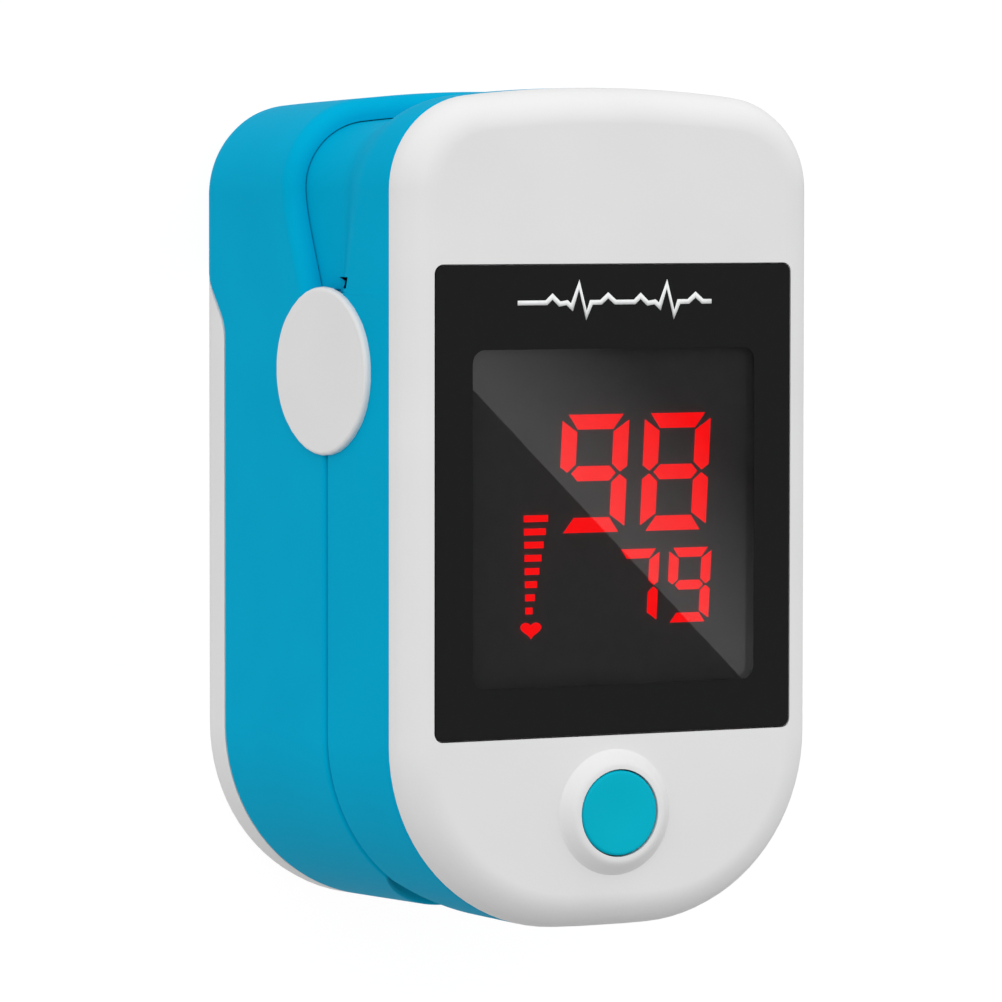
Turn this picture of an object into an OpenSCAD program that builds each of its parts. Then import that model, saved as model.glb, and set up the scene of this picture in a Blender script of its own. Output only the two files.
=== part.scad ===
// Fingertip pulse oximeter: two sprung halves round a finger channel, with a display on top.
// It lies on its back cover. X is across, +Y points to the squeeze end and -Y to the finger opening.
// +Z points out of the display.

/* [Overall form] */
// Room between the battery bay and each side
side_room = 5.1; // [4.9:0.1:6]
// Room between the battery bay and the squeeze end
squeeze_room = 8; // [7.6:0.1:10]
// Plan radius of the corners at the finger opening
finger_corner_r = 13.7; // [12:0.1:14.5]
// Radius of the shallow crown across the finger opening
finger_crown_r = 117; // [90:1:150]
// Plan radius of the corners at the squeeze end
squeeze_corner_r = 6.8; // [6:0.1:8]
// Radius of the shallow crown across the squeeze end
squeeze_crown_r = 97; // [80:1:130]
// Wall thickness of the moulded shells
wall = 1.5; // [1.3:0.05:1.7]
// Rounding along the edge of the back
back_round = 2.5; // [2:0.1:2.8]

/* [Front cover] */
// Depth of the front cover down the side
cover_depth = 2.95; // [2.8:0.05:3.4]
// Rounding along the edge of the front
front_round = 2.6; // [2:0.1:2.7]
// Thickness of the front cover's face
cover_t = 1.6; // [1.4:0.1:1.8]
// Small rounding on the edges that meet at a seam
seam_round = 0.25; // [0.2:0.05:0.35]

/* [Display window] */
// White border at each side of the window panel
border_side = 2.35; // [2.3:0.05:2.75]
// White border between the window panel and the squeeze end
border_squeeze = 12.8; // [12.4:0.1:14]
// White border between the window panel and the finger opening
border_finger = 14.2; // [13.8:0.1:15]
// Thickness of the window panel
window_t = 0.95; // [0.8:0.05:1.1]
// Corner radius of the window panel
window_corner_r = 0.6; // [0.4:0.1:1.5]
// Width of the ledge that the panel is glued to, at the sides
ledge_side = 2.2; // [2:0.1:2.6]
// Width of that ledge at the two ends
ledge_end = 3.3; // [3:0.1:4]

/* [Display module] */
// Height of the light-emitting display module
display_h = 2.8; // [2.4:0.1:3]
// Height of the large numerals
big_digit_h = 8.6; // [7.5:0.1:9]
// Width of the large numerals
big_digit_w = 5.6; // [5:0.1:5.8]
// Stroke of the large numerals
big_stroke = 1.25; // [1:0.05:1.4]
// Height of the small numerals
small_digit_h = 5.5; // [5:0.1:6]
// Width of the small numerals
small_digit_w = 3.7; // [3.3:0.1:3.9]
// Stroke of the small numerals
small_stroke = 0.8; // [0.6:0.05:0.9]
// Steps in the pulse bar graph
bar_count = 8; // [6:1:8]
// Spacing of the bar graph's steps
bar_pitch = 0.965; // [0.9:0.005:1]

/* [Power button] */
// Radius of the button
button_r = 3.1; // [2.8:0.1:3.4]
// Distance from the finger opening to the button's centre
button_setback = 8.5; // [8.3:0.1:9.2]
// How far the collar round the button rises over the cover
collar_h = 0.8; // [0.6:0.05:1]
// Travel of the button
button_travel = 0.4; // [0.3:0.05:0.5]
// Radius of the foot of that collar
collar_r = 4.9; // [4.5:0.1:5.2]

/* [Halves and seam] */
// Height of the seam over the trough's floor
seam_rise = 6.3; // [6:0.1:6.5]
// Open gap at the seam
seam_gap = 0.3; // [0.25:0.05:0.4]
// Drop from the seam to the lower shell's rim at the squeeze end
rim_drop = 5.7; // [5.1:0.1:6]
// Rounding along that rim
rim_round = 1.4; // [1:0.1:1.45]
// Angle at which the rim climbs to the hinge ears
rim_slope = 23.8; // [20:0.5:26]
// Inset of the upper half's neck from the end of the body
neck_inset = 2.3; // [2.1:0.1:2.6]
// Plan radius of the neck's corners
neck_corner_r = 4.6; // [4:0.1:5.2]
// Wall thickness of the neck
neck_wall = 1.3; // [1.1:0.1:1.4]
// How far the neck's skirt reaches into the lower shell
skirt_lap = 1.1; // [0.9:0.1:1.4]
// Slope of the upper half's flush band towards the squeeze end
band_slope = 18; // [16:0.5:19]
// Height of the flare between the neck and that band
flare_h = 4; // [3:0.5:4.5]

/* [Finger channel] */
// Radius of the trough that the finger lies in
trough_r = 9; // [8.5:0.1:9.2]
// Opening between the trough's floor and the arch's crown
finger_gap = 10.8; // [10.5:0.1:11]
// Radius of the arch over the finger
arch_r = 12; // [11.5:0.1:12.5]
// Thickness of the rubber pads
pad_t = 1.4; // [1.2:0.1:1.5]
// Length of the finger channel
channel_l = 36; // [34:0.5:36.5]
// Half width of the mouth at the seam
mouth_half_w = 11.8; // [11.4:0.1:12]
// Depth of the mouth below the seam
mouth_drop = 6.65; // [6.4:0.05:6.8]
// Height of the mouth above the seam
mouth_rise = 3.95; // [3.9:0.05:4.1]

/* [Sensor] */
// Distance from the finger opening to the sensor
sensor_setback = 24.5; // [22:0.5:26]
// Radius of the two clear sensor windows
sensor_r = 2.9; // [2.5:0.1:3]
// Thickness of the sensor windows
lens_t = 0.6; // [0.5:0.05:0.65]

/* [Hinge] */
// Distance from the squeeze end to the hinge
hinge_setback = 20.6; // [20:0.1:21]
// Radius of the lower shell's hinge ears
ear_r = 5.6; // [5.2:0.1:5.7]
// Open gap round the ears
ear_gap = 0.3; // [0.25:0.05:0.4]
// Radius of the hinge pins
pin_r = 1.25; // [1:0.05:1.35]
// Radial play of the pins in the upper half's lugs
pin_play = 0.05; // [0.03:0.01:0.08]
// Width of the hinge caps, along the body
cap_w = 12.3; // [11.8:0.1:12.8]
// Height of the hinge caps
cap_h = 14.5; // [14:0.05:14.9]
// End radius of the hinge caps
cap_end_r = 5.4; // [5:0.1:5.6]
// How far the hinge caps stand out
cap_proud = 0.45; // [0.4:0.05:0.8]
// Wire radius of the torsion springs
spring_wire_r = 0.35; // [0.3:0.05:0.4]
// Turns of the torsion springs
spring_turns = 3; // [2:1:3]

/* [Batteries] */
// Diameter of a cell
cell_d = 10.5; // [10.3:0.1:10.5]
// Length of a cell with its nub
cell_l = 44.5; // [44:0.1:44.5]
// Gap between the two cells
cell_gap = 0.3; // [0.2:0.1:0.4]
// Play between a cell and its bay
bay_play = 0.2; // [0.15:0.05:0.3]
// Wall thickness of the battery bay
bay_wall = 1.1; // [0.9:0.1:1.2]
// Length of a compressed contact spring
contact_l = 2.6; // [2.4:0.1:2.8]
// Distance from the finger opening to the bay
bay_setback = 5; // [4.8:0.1:5.1]

/* [Battery door] */
// Height of the door's edge
door_z = 4.6; // [4.2:0.1:5]
// Distance from the squeeze end to the foot of the door's slanted end
door_setback = 11.9; // [11.4:0.1:12.4]
// Slant of the door's end
door_slant = 40; // [35:1:45]
// Gap between the door and the shell
door_gap = 0.2; // [0.15:0.05:0.25]

/* [Fasteners and lanyard] */
// Shank radius of the self-tapping screws
screw_r = 0.95; // [0.9:0.05:1]
// Head radius of those screws
screw_head_r = 1.8; // [1.6:0.1:1.9]
// Radius of the two lanyard holes
lanyard_r = 1.1; // [1:0.1:1.2]
// Spacing of the lanyard holes
lanyard_pitch = 6; // [5:0.5:7]

/* [Hidden] */
$fn = 96;
CROWN_FN = 720;
far = 60;
seat = 0.3;

// Battery bay, which sets the width and the length
plate_t = 0.4;
bay_clear = 0.1;
cell_r = cell_d / 2;
cell_x = cell_r + cell_gap / 2;
cell_clear = 0.25;
cell_z = wall + cell_clear + cell_r;
bay_half_w = cell_x + cell_r + bay_play;
bay_l = cell_l + contact_l + 2 * plate_t + bay_clear;

// Plan of the body
bay_out = bay_half_w + bay_wall;
half_w = bay_out + side_room;
half_l = (bay_setback + bay_l + squeeze_room) / 2;
finger_corner_x = half_w - finger_corner_r;
squeeze_corner_x = half_w - squeeze_corner_r;
finger_crown_y = finger_crown_r - half_l;
squeeze_crown_y = half_l - squeeze_crown_r;
finger_corner_y = finger_crown_y - tangent_run(finger_crown_r - finger_corner_r, finger_corner_x);
squeeze_corner_y = squeeze_crown_y + tangent_run(squeeze_crown_r - squeeze_corner_r, squeeze_corner_x);
finger_turn = atan2(finger_corner_y - finger_crown_y, finger_corner_x);
squeeze_turn = atan2(squeeze_corner_y - squeeze_crown_y, squeeze_corner_x);
inner_x = half_w - wall;

// Stack of plates, from the cells up to the display
fit = 0.1;
deck_t = 1.2;
deck_z = cell_z + cell_r + cell_clear + fit;
deck_top_z = deck_z + deck_t;
trough_floor_z = deck_top_z + seat + pad_t;
arch_top_z = trough_floor_z + finger_gap;
floor_t = 1;
floor_z = arch_top_z + pad_t + 2 * fit;
floor_top_z = floor_z + floor_t;
board_t = 1;
board_lift = 0.7;
board_z = floor_top_z + board_lift;
board_top_z = board_z + board_t;
display_top_z = board_top_z + display_h;
window_z = display_top_z + 2 * fit;
window_sink = 0.05;
body_h = window_z + window_t + window_sink;
cover_in_z = body_h - cover_t;

// Heights of the seams
seam_z = trough_floor_z + seam_rise;
split_z = body_h - cover_depth;
lower_top_z = seam_z - seam_gap / 2;
upper_bottom_z = seam_z + seam_gap / 2;
rim_z = seam_z - rim_drop;

// Hinge line, which runs in the seam, and what sits along it, from the outside in
hinge_y = half_l - hinge_setback;
hinge_z = seam_z;
ear_end_y = hinge_y + ear_r;
notch_r = ear_r + ear_gap;
band_y = ear_end_y + ear_gap + fit;
band_z = hinge_z + 3.3;
notch_y = hinge_y + sqrt(notch_r * notch_r - (band_z - hinge_z) * (band_z - hinge_z)) - fit;
lug_out = inner_x - ear_gap;
lug_in = lug_out - neck_wall;
lug_r = 4.2;
spring_room = 2.9;
post_t = 1.2;
post_out = lug_in - spring_room;
post_in = post_out - post_t;
post_r = 2.5;

// Pads in the finger channel, and the rails that hold them
trough_z = trough_floor_z + trough_r;
arch_z = arch_top_z - arch_r;
pad_half_w = lug_in - 1.15;
pad_end_y = -half_l + wall + channel_l;
stop_t = 1.5;
land_gap = 0.8;
lower_land_z = lower_top_z - 0.25;
upper_land_z = lower_land_z + land_gap;
rail_t = 1.4;
rail_in = pad_half_w - rail_t;

// Neck of the upper half, which swings inside the lower shell
neck_half_w = lug_out;
neck_end_y = half_l - neck_inset;
neck_corner_x = neck_half_w - neck_corner_r;
neck_crown_y = neck_end_y - squeeze_crown_r;
neck_corner_y = neck_crown_y + tangent_run(squeeze_crown_r - neck_corner_r, neck_corner_x);
neck_turn = atan2(neck_corner_y - neck_crown_y, neck_corner_x);
skirt_z = rim_z - skirt_lap;

// Ends of the battery bay, and the tail of the tray behind it
nub_l = 0.8;
nub_r = 1.9;
plate_reach = 3.2;
plate_half_h = 3.5;
bay_y = -half_l + bay_setback;
bay_end_y = bay_y + bay_l;
bay_bottom_z = wall + 0.3;
tail_z = 4;
tail_t = 1.2;
tail_x = 9;
tail_y = half_l - 4.3;

// Rail of the shell that the door slides on
rail_lip_in = inner_x - 1.5;
rail_lip_y = finger_corner_y + 1.8;
rail_lip_end_y = half_l - door_setback - 4.6;
door_foot_y = half_l - door_setback;

// Display, window and button
window_w = 2 * (half_w - border_side);
window_l = 2 * half_l - border_squeeze - border_finger;
window_y = half_l - border_squeeze - window_l / 2;
opening_w = window_w - 2 * ledge_side;
opening_l = window_l - 2 * ledge_end;
button_y = -half_l + button_setback;
button_flange_r = button_r + 1;
button_flange_t = 0.9;
button_foot_z = cover_in_z - fit - button_flange_t;
button_hole_r = button_r + fit;
collar_z = body_h + collar_h;
sensor_y = -half_l + sensor_setback;
screw_head_h = 1.3;
cover_screw_at = [[rail_in - screw_head_r - fit, -half_l + 10.5], [lug_in - screw_head_r - 1.65, half_l - 9]];
chip_y = window_y + opening_l / 2 + 1.2;

function tangent_run(reach, offset) = sqrt(reach * reach - offset * offset);
function arc_points(c, r, a0, a1, n = 8) =
    [for (i = [0:n]) let (a = a0 + (a1 - a0) * i / n) c + r * [cos(a), sin(a)]];
function unit(v) = v / norm(v);
function chord_radius(half, rise) = (half * half + rise * rise) / (2 * rise);

// ---------------------------------------------------------------- shared plans and forms

// Closes the right half of a plan with its mirror image
function mirrored(p) = concat(p, [for (i = [len(p) - 1:-1:0]) [-p[i].x, p[i].y]]);
function squeeze_end(c, r, crown_y, turn, d) = concat(
    arc_points(c, r - d, 0, turn, 16),
    arc_points([0, crown_y], squeeze_crown_r - d, turn + 0.8, 89, 4));

// Plan of the whole body, drawn in by d, counter-clockwise
function body_plan(d) = mirrored(concat(
    [[0, finger_crown_y] + (finger_crown_r - d) * [cos(-89.1), sin(-89.1)]],
    arc_points([finger_corner_x, finger_corner_y], finger_corner_r - d, finger_turn, 0, 20),
    squeeze_end([squeeze_corner_x, squeeze_corner_y], squeeze_corner_r, squeeze_crown_y, squeeze_turn, d)));
module outline(d = 0) { polygon(body_plan(d)); }

// Plan of the neck, drawn in by d, with its straight sides running on towards the finger end
module neck_plan(d = 0) {
    corner = [neck_corner_x, neck_corner_y];
    foot = [neck_half_w - d, 0];
    polygon(mirrored(concat([foot], squeeze_end(corner, neck_corner_r, neck_crown_y, neck_turn, d))));
}

// Carries a profile, drawn with the outline at x = 0 and the inside at negative x, round the body
module round_the_body() {
    for (side = [0, 1]) mirror([side, 0, 0]) {
        translate([half_w, squeeze_corner_y, 0]) rotate([90, 0, 0])
            linear_extrude(squeeze_corner_y - finger_corner_y) children();
        translate([squeeze_corner_x, squeeze_corner_y, 0])
            rotate_extrude(angle = squeeze_turn) translate([squeeze_corner_r, 0]) children();
        translate([finger_corner_x, finger_corner_y, 0]) rotate([0, 0, finger_turn])
            rotate_extrude(angle = -finger_turn) translate([finger_corner_r, 0]) children();
    }
    translate([0, squeeze_crown_y, 0]) rotate([0, 0, squeeze_turn])
        rotate_extrude(angle = 180 - 2 * squeeze_turn, $fn = CROWN_FN)
            translate([squeeze_crown_r, 0]) children();
    translate([0, finger_crown_y, 0]) rotate([0, 0, -180 - finger_turn])
        rotate_extrude(angle = 180 + 2 * finger_turn, $fn = CROWN_FN)
            translate([finger_crown_r, 0]) children();
}

// Lower half of an edge profile: a strip with its bottom outer corner rounded
module rounded_strip(band, h, r) {
    translate([-band, 0]) square([band - r, h]);
    translate([-r, r]) square([r, h - r]);
    intersection() {
        translate([-r, r]) circle(r = r);
        translate([-r, 0]) square(r);
    }
}

// Wall that follows the body's outline, with its outer edges rounded below and above
module body_wall(z0, z1, round_below, round_above, t) {
    mid = (z0 + round_below + z1 - round_above) / 2;
    round_the_body() union() {
        translate([0, z0]) rounded_strip(t, mid - z0, round_below);
        translate([0, z1]) mirror([0, 1]) rounded_strip(t, z1 - mid, round_above);
    }
}

// Heights and insets of a rounding of radius r whose flat face lies at z; up is 1 above a solid, -1 below it
function edge_levels(z, r, up, n) = [for (i = [0:n]) let (a = up > 0 ? 90 * i / n : 90 - 90 * i / n)
    [z + up * r * (sin(a) - 1), r * (1 - cos(a))]];
// Solid skinned over a stack of rings with equal counts, each counter-clockwise seen from its far end
module loft(rings) {
    n = len(rings[0]);
    last = len(rings) - 1;
    skin = [for (i = [0:last - 1], k = [0:n - 1])
        [i * n + k, (i + 1) * n + k, (i + 1) * n + (k + 1) % n, i * n + (k + 1) % n]];
    ends = [[for (k = [0:n - 1]) k], [for (k = [n - 1:-1:0]) last * n + k]];
    polyhedron([for (ring = rings) each ring], concat(skin, ends));
}
// Solid with the body's plan, rounded along its lower and upper edges
module body_solid(z0, z1, round_below, round_above) {
    levels = concat(edge_levels(z0, round_below, -1, 5), edge_levels(z1, round_above, 1, 7));
    loft([for (l = levels) [for (p = body_plan(l[1])) [p.x, p.y, l[0]]]]);
}

// Wall and rounded foot of a tub that stands on z = 0; its floor is added as a plate
tub_band = back_round + 0.5;
module tub_wall(z1, round_above) {
    round_the_body() difference() {
        union() {
            rounded_strip(tub_band, 5, back_round);
            translate([0, z1]) mirror([0, 1]) rounded_strip(tub_band, z1 - 5, round_above);
        }
        translate([-tub_band - 1, wall]) square([tub_band + 1 - wall, far]);
    }
}

module slice(z0, z1) { translate([0, 0, z0]) linear_extrude(z1 - z0) children(); }
// Side profile drawn in (Y, Z), carried across the body between x0 and x1
module across(x0, x1) { translate([x0, 0, 0]) rotate([90, 0, 90]) linear_extrude(x1 - x0) children(); }
module both_sides() { for (side = [0, 1]) mirror([side, 0, 0]) children(); }
module block(x0, x1, y0, y1, z0, z1) { translate([x0, y0, z0]) cube([x1 - x0, y1 - y0, z1 - z0]); }
// Disc on the hinge line, between x0 and x1
module disc_x(x0, x1, r) {
    translate([x0, hinge_y, hinge_z]) rotate([0, 90, 0]) cylinder(r = r, h = x1 - x0);
}
// End profile drawn in (X, Z), carried along the body between y0 and y1
module along(y0, y1) { translate([0, y1, 0]) rotate([90, 0, 0]) linear_extrude(y1 - y0) children(); }
// Round channel along Y, used for the trough and the arch
module bore_y(y0, y1, z, r) { translate([0, y0, z]) rotate([-90, 0, 0]) cylinder(r = r, h = y1 - y0); }

// Wire of radius r that follows a list of points, with its rings kept square to the path
function ring_at(p, i, r, up, n) = let (
    last = len(p) - 1,
    t = unit(p[min(i + 1, last)] - p[max(i - 1, 0)]),
    side = unit(cross(up, t)),
    lift = cross(t, side)
) [for (k = [0:n - 1]) p[i] + r * (cos(360 * k / n) * side + sin(360 * k / n) * lift)];
module wire(p, r, up, n = 8) {
    count = len(p);
    points = [for (i = [0:count - 1]) each ring_at(p, i, r, up, n)];
    skin = [for (i = [0:count - 2], k = [0:n - 1])
        [i * n + k, (i + 1) * n + k, (i + 1) * n + (k + 1) % n, i * n + (k + 1) % n]];
    ends = [[for (k = [0:n - 1]) k], [for (k = [n - 1:-1:0]) (count - 1) * n + k]];
    polyhedron(points, concat(skin, ends));
}

// ---------------------------------------------------------------- upper half

boss_r = screw_head_r + 0.2;
module at_cover_screws() {
    for (at = cover_screw_at) both_sides() translate([at.x, at.y, board_top_z]) children();
}
// Hole of the given depth that a screw cuts its thread in, from z = 0 up
module pilot_hole(depth) { translate([0, 0, -1]) cylinder(r = screw_r + 0.02, h = depth + 1); }

// Swelling round the button: an S-shaped slope up to a narrow flat rim
module button_collar() {
    root = 0.3;
    rim = 0.25;
    steps = 10;
    slope_w = collar_r - button_hole_r - rim;
    slope = [for (i = [0:steps]) let (t = i / steps)
        [collar_r - slope_w * t, (collar_h + fit) * (3 - 2 * t) * t * t - fit]];
    translate([0, button_y, body_h]) rotate_extrude()
        polygon(concat([[button_r, -root], [collar_r, -root]], slope, [[button_r, collar_h]]));
}

// Face of the device: a shallow tray with a recess for the window and a collar round the button
module front_cover() {
    color("gainsboro") difference() {
        union() {
            body_solid(split_z, body_h, seam_round, front_round);
            button_collar();
        }
        difference() {
            slice(split_z - 1, cover_in_z) outline(wall);
            at_cover_screws() cylinder(r = boss_r, h = far);
        }
        at_cover_screws() pilot_hole(cover_in_z - board_top_z);
        slice(window_z, body_h + 1) window_plan(-fit);
        block(-opening_w / 2, opening_w / 2, window_y - opening_l / 2, window_y + opening_l / 2,
            split_z, body_h);
        translate([0, button_y, split_z]) cylinder(r = button_hole_r, h = far);
    }
    color("gainsboro") at_cover_screws() difference() {
        cylinder(r = boss_r, h = cover_in_z - board_top_z + 0.3);
        pilot_hole(cover_in_z - board_top_z);
    }
}

module window_plan(d = 0) {
    r = window_corner_r - d;
    translate([0, window_y]) for (turn = [0, 1]) {
        w = window_w - 2 * d - (turn == 0 ? 0 : 2 * r);
        l = window_l - 2 * d - (turn == 0 ? 2 * r : 0);
        square([w, l], center = true);
    }
    for (sx = [-1, 1], sy = [-1, 1])
        translate([sx * (window_w / 2 - window_corner_r), window_y + sy * (window_l / 2 - window_corner_r)])
            circle(r = r, $fn = 32);
}

module display_window() { color([0.1, 0.1, 0.1]) slice(window_z, window_z + window_t) window_plan(); }

module led_display() {
    color([0.16, 0.16, 0.17]) difference() {
        block(-opening_w / 2 + 0.2, opening_w / 2 - 0.2, window_y - opening_l / 2 + 0.2,
            window_y + opening_l / 2 - 0.2, board_top_z, display_top_z);
        for (sx = [-1, 1], sy = [-1, 1])
            translate([sx * opening_w / 2, window_y + sy * opening_l / 2, display_top_z - 0.8])
                cylinder(r = 1, h = 1);
    }
}

// One bar of a seven-segment numeral: a hexagon with pointed ends, from a to b
module numeral_bar(a, b, stroke) {
    along = unit(b - a);
    out = [-along.y, along.x] * stroke / 2;
    gap = 0.12;
    a0 = a + along * gap;
    b0 = b - along * gap;
    polygon([a0, a0 + along * stroke / 2 + out, b0 - along * stroke / 2 + out, b0,
        b0 - along * stroke / 2 - out, a0 + along * stroke / 2 - out]);
}

// Seven-segment numeral in a w by h box; lit lists which of its bars are on
module numeral(w, h, stroke, lit) {
    s = stroke / 2;
    node_at = [[s, h - s], [w - s, h - s], [s, h / 2], [w - s, h / 2], [s, s], [w - s, s]];
    bars = [[0, 1], [1, 3], [3, 5], [4, 5], [2, 4], [0, 2], [2, 3]];
    slant = tan(3);
    for (i = lit) {
        ends = [for (k = bars[i]) node_at[k] + [node_at[k].y * slant, 0]];
        numeral_bar(ends[0], ends[1], stroke);
    }
}

module heart(size) {
    for (side = [-1, 1]) translate([side * size / 4, 0]) circle(r = size / 4, $fn = 24);
    polygon([[-size * 0.46, -size * 0.1], [0, -size * 0.62], [size * 0.46, -size * 0.1], [0, size * 0.12]]);
}

// Lit bars of the display: two readings, a pulse bar graph and its heart mark
module display_segments() {
    seven = [0, 1, 2];
    eight = [0, 1, 2, 3, 4, 5, 6];
    nine = [0, 1, 2, 3, 5, 6];
    corner = [-window_w / 2, window_y];
    big_at = corner + [10.5, -2.35];
    small_at = corner + [15.05, -9.1];
    bars_at = corner + [7.76, -1.57];
    heart_at = corner + [8.35, -1.43 - bar_count * bar_pitch];
    big_pitch = big_digit_w + 1.22;
    small_pitch = small_digit_w + 0.79;
    longest_bar = 2.06;
    bar_step = 0.21;
    bar_h = 0.6;
    heart_w = 1.75;
    color("red") slice(display_top_z, display_top_z + fit) {
        translate(big_at) numeral(big_digit_w, big_digit_h, big_stroke, nine);
        translate(big_at + [big_pitch, 0]) numeral(big_digit_w, big_digit_h, big_stroke, eight);
        translate(small_at) numeral(small_digit_w, small_digit_h, small_stroke, seven);
        translate(small_at + [small_pitch, 0]) numeral(small_digit_w, small_digit_h, small_stroke, nine);
        for (i = [0:bar_count - 1])
            translate(bars_at - [0, i * bar_pitch]) square([longest_bar - i * bar_step, bar_h]);
        translate(heart_at) heart(heart_w);
    }
}

module main_board() {
    color("darkgreen") difference() {
        slice(board_z, board_top_z) intersection() {
            outline(wall + 1.1);
            translate([-half_w, -half_l + 3.5]) square(2 * [half_w, half_l - 5.25]);
        }
        for (at = cover_screw_at) both_sides()
            translate([at.x, at.y, board_z - 1]) cylinder(r = screw_r + 0.2, h = 3);
    }
}

// Flat package with a row of leads along each side
module processor_chip() {
    half_chip = 3.5;
    chip_l = 5;
    chip_h = 1.2;
    lift = 0.15;
    leads = 8;
    pitch = 0.85;
    lead_w = 0.4;
    lead_l = 0.7;
    color([0.12, 0.12, 0.13]) {
        block(-half_chip, half_chip, chip_y, chip_y + chip_l, board_top_z + lift, board_top_z + chip_h);
        for (i = [0:leads - 1], y = [chip_y - lead_l, chip_y + chip_l]) {
            x = (i - (leads - 1) / 2) * pitch;
            block(x - lead_w / 2, x + lead_w / 2, y, y + lead_l, board_top_z, board_top_z + lift + 0.3);
        }
    }
}

// Small parts on the board: a crystal, a regulator and a row of chip resistors
module board_components() {
    crystal = [3.2, 4, 1];
    regulator = [3, 2.4, 1.1];
    resistor = [0.8, 1.6, 0.5];
    beside_chip = 5;
    beside_switch = 3;
    pitch = 1.5;
    color("tan") {
        translate([beside_chip, chip_y + 0.5, board_top_z]) cube(crystal);
        translate([-beside_chip - regulator.x, chip_y + 1, board_top_z]) cube(regulator);
        for (i = [0:2]) both_sides()
            translate([beside_switch + i * pitch, button_y + button_r - 0.2, board_top_z]) cube(resistor);
    }
}

plunger_h = 0.7;
switch_pocket_z = button_foot_z - plunger_h - button_travel;
plunger_r = 1.25;
switch_half_w = 2.25;
module power_switch() {
    color("silver") difference() {
        block(-switch_half_w, switch_half_w, button_y - switch_half_w, button_y + switch_half_w,
            board_top_z, button_foot_z - button_travel - fit);
        translate([0, button_y, switch_pocket_z]) cylinder(r = plunger_r + fit, h = 3);
    }
}

module switch_plunger() {
    color("black") translate([0, button_y, button_foot_z - plunger_h]) cylinder(r = plunger_r, h = plunger_h);
}

// Push button with a flange that holds it under the cover
module power_button() {
    edge_r = 0.2;
    shoulder_z = button_foot_z + button_flange_t;
    color([0, 0.67, 0.76]) translate([0, button_y, 0]) rotate_extrude() {
        translate([0, button_foot_z]) square([button_flange_r, button_flange_t]);
        translate([0, shoulder_z]) square([button_r, collar_z - edge_r - shoulder_z]);
        translate([0, collar_z - edge_r]) square([button_r - edge_r, edge_r]);
        translate([button_r - edge_r, collar_z - edge_r]) intersection() {
            circle(r = edge_r, $fn = 32);
            square(edge_r);
        }
    }
}

// Side view of what lies under the band's lower edge, from y0 on; drop moves the edge down
module below_band(drop, y0 = band_y) {
    z = band_z - drop;
    polygon([[y0, -1], [y0, z], [band_y, z], [band_y + far, z + far * tan(band_slope)], [band_y + far, -1]]);
}

// Tilted slice of a plan at the band's lower edge, for the flare
module band_slice(drop, t) {
    intersection() {
        slice(band_z - drop - 1, body_h) intersection() {
            children();
            translate([-half_w, band_y]) square([2 * half_w, far]);
        }
        across(-half_w, half_w) difference() {
            below_band(drop - t);
            below_band(drop);
        }
    }
}

// Side view of the skirt, the lugs and the stiffening plate that joins them
module skirt_side() {
    translate([hinge_y, hinge_z]) circle(r = lug_r);
    polygon([[hinge_y - lug_r, hinge_z], [hinge_y - lug_r, floor_top_z], [half_l, floor_top_z],
        [half_l, skirt_z], [hinge_y + 7.7, skirt_z], [hinge_y + 2.5, hinge_z - 3.4]]);
}

// Outer wall of the upper half, with the mouth, the ear notches and its flush band's lower edge
module upper_wall() {
    mouth_r = chord_radius(mouth_half_w, mouth_rise);
    difference() {
        body_wall(upper_bottom_z, split_z, seam_round + 0.1, seam_round, wall);
        across(-half_w - 1, half_w + 1) below_band(0, notch_y);
        disc_x(-half_w - 1, half_w + 1, notch_r);
        along(-half_l - 1, finger_corner_y - 8)
            polygon(arc_points([0, upper_bottom_z + mouth_rise - mouth_r], mouth_r, 20, 160, 40));
    }
}

// Floor under the board, the rails that hold the pad and the bosses for the screws
module upper_floor() {
    difference() {
        union() {
            slice(floor_z, floor_top_z) outline(wall - 0.15);
            both_sides() intersection() {
                slice(upper_land_z + pad_t, floor_z + 0.5) outline(wall + seat);
                block(rail_in, pad_half_w, -half_l, pad_end_y, 0, far);
            }
            for (at = cover_screw_at) both_sides()
                translate([at.x, at.y, floor_z]) cylinder(r = screw_head_r + 0.3, h = board_z - floor_z);
        }
        for (at = cover_screw_at) both_sides()
            translate([at.x, at.y, floor_z - 1]) cylinder(r = screw_r + 0.2, h = 4);
        translate([0, sensor_y, floor_z - 1]) cylinder(r = 2.2, h = 3);
        block(-3.2, 3.2, pad_end_y + 0.7, pad_end_y + 3.4, floor_z - 1, floor_top_z + 0.1);
    }
}

// Neck that swings inside the lower shell, with a lug on each side for the hinge pin
module neck() {
    difference() {
        intersection() {
            slice(skirt_z - 1, floor_top_z) difference() {
                neck_plan();
                neck_plan(neck_wall);
            }
            across(-half_w, half_w) skirt_side();
        }
        both_sides() disc_x(lug_in - 1, lug_out + 1, pin_r + pin_play);
    }
}

// Sloping shoulder that widens the neck to the flush band
module neck_flare() {
    difference() {
        hull() {
            band_slice(flare_h + 0.2, 0.1) neck_plan(0.03);
            band_slice(-0.1, 0.1) outline(0.04);
        }
        slice(0, far) neck_plan(neck_wall);
        across(-half_w - 1, half_w + 1) translate([-far + band_y + 0.01, 0]) square(far);
    }
}

// Blue half that carries the board and closes on the finger
module upper_frame() {
    color([0, 0.6, 0.76]) {
        upper_wall();
        upper_floor();
        neck();
        neck_flare();
    }
}

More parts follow.
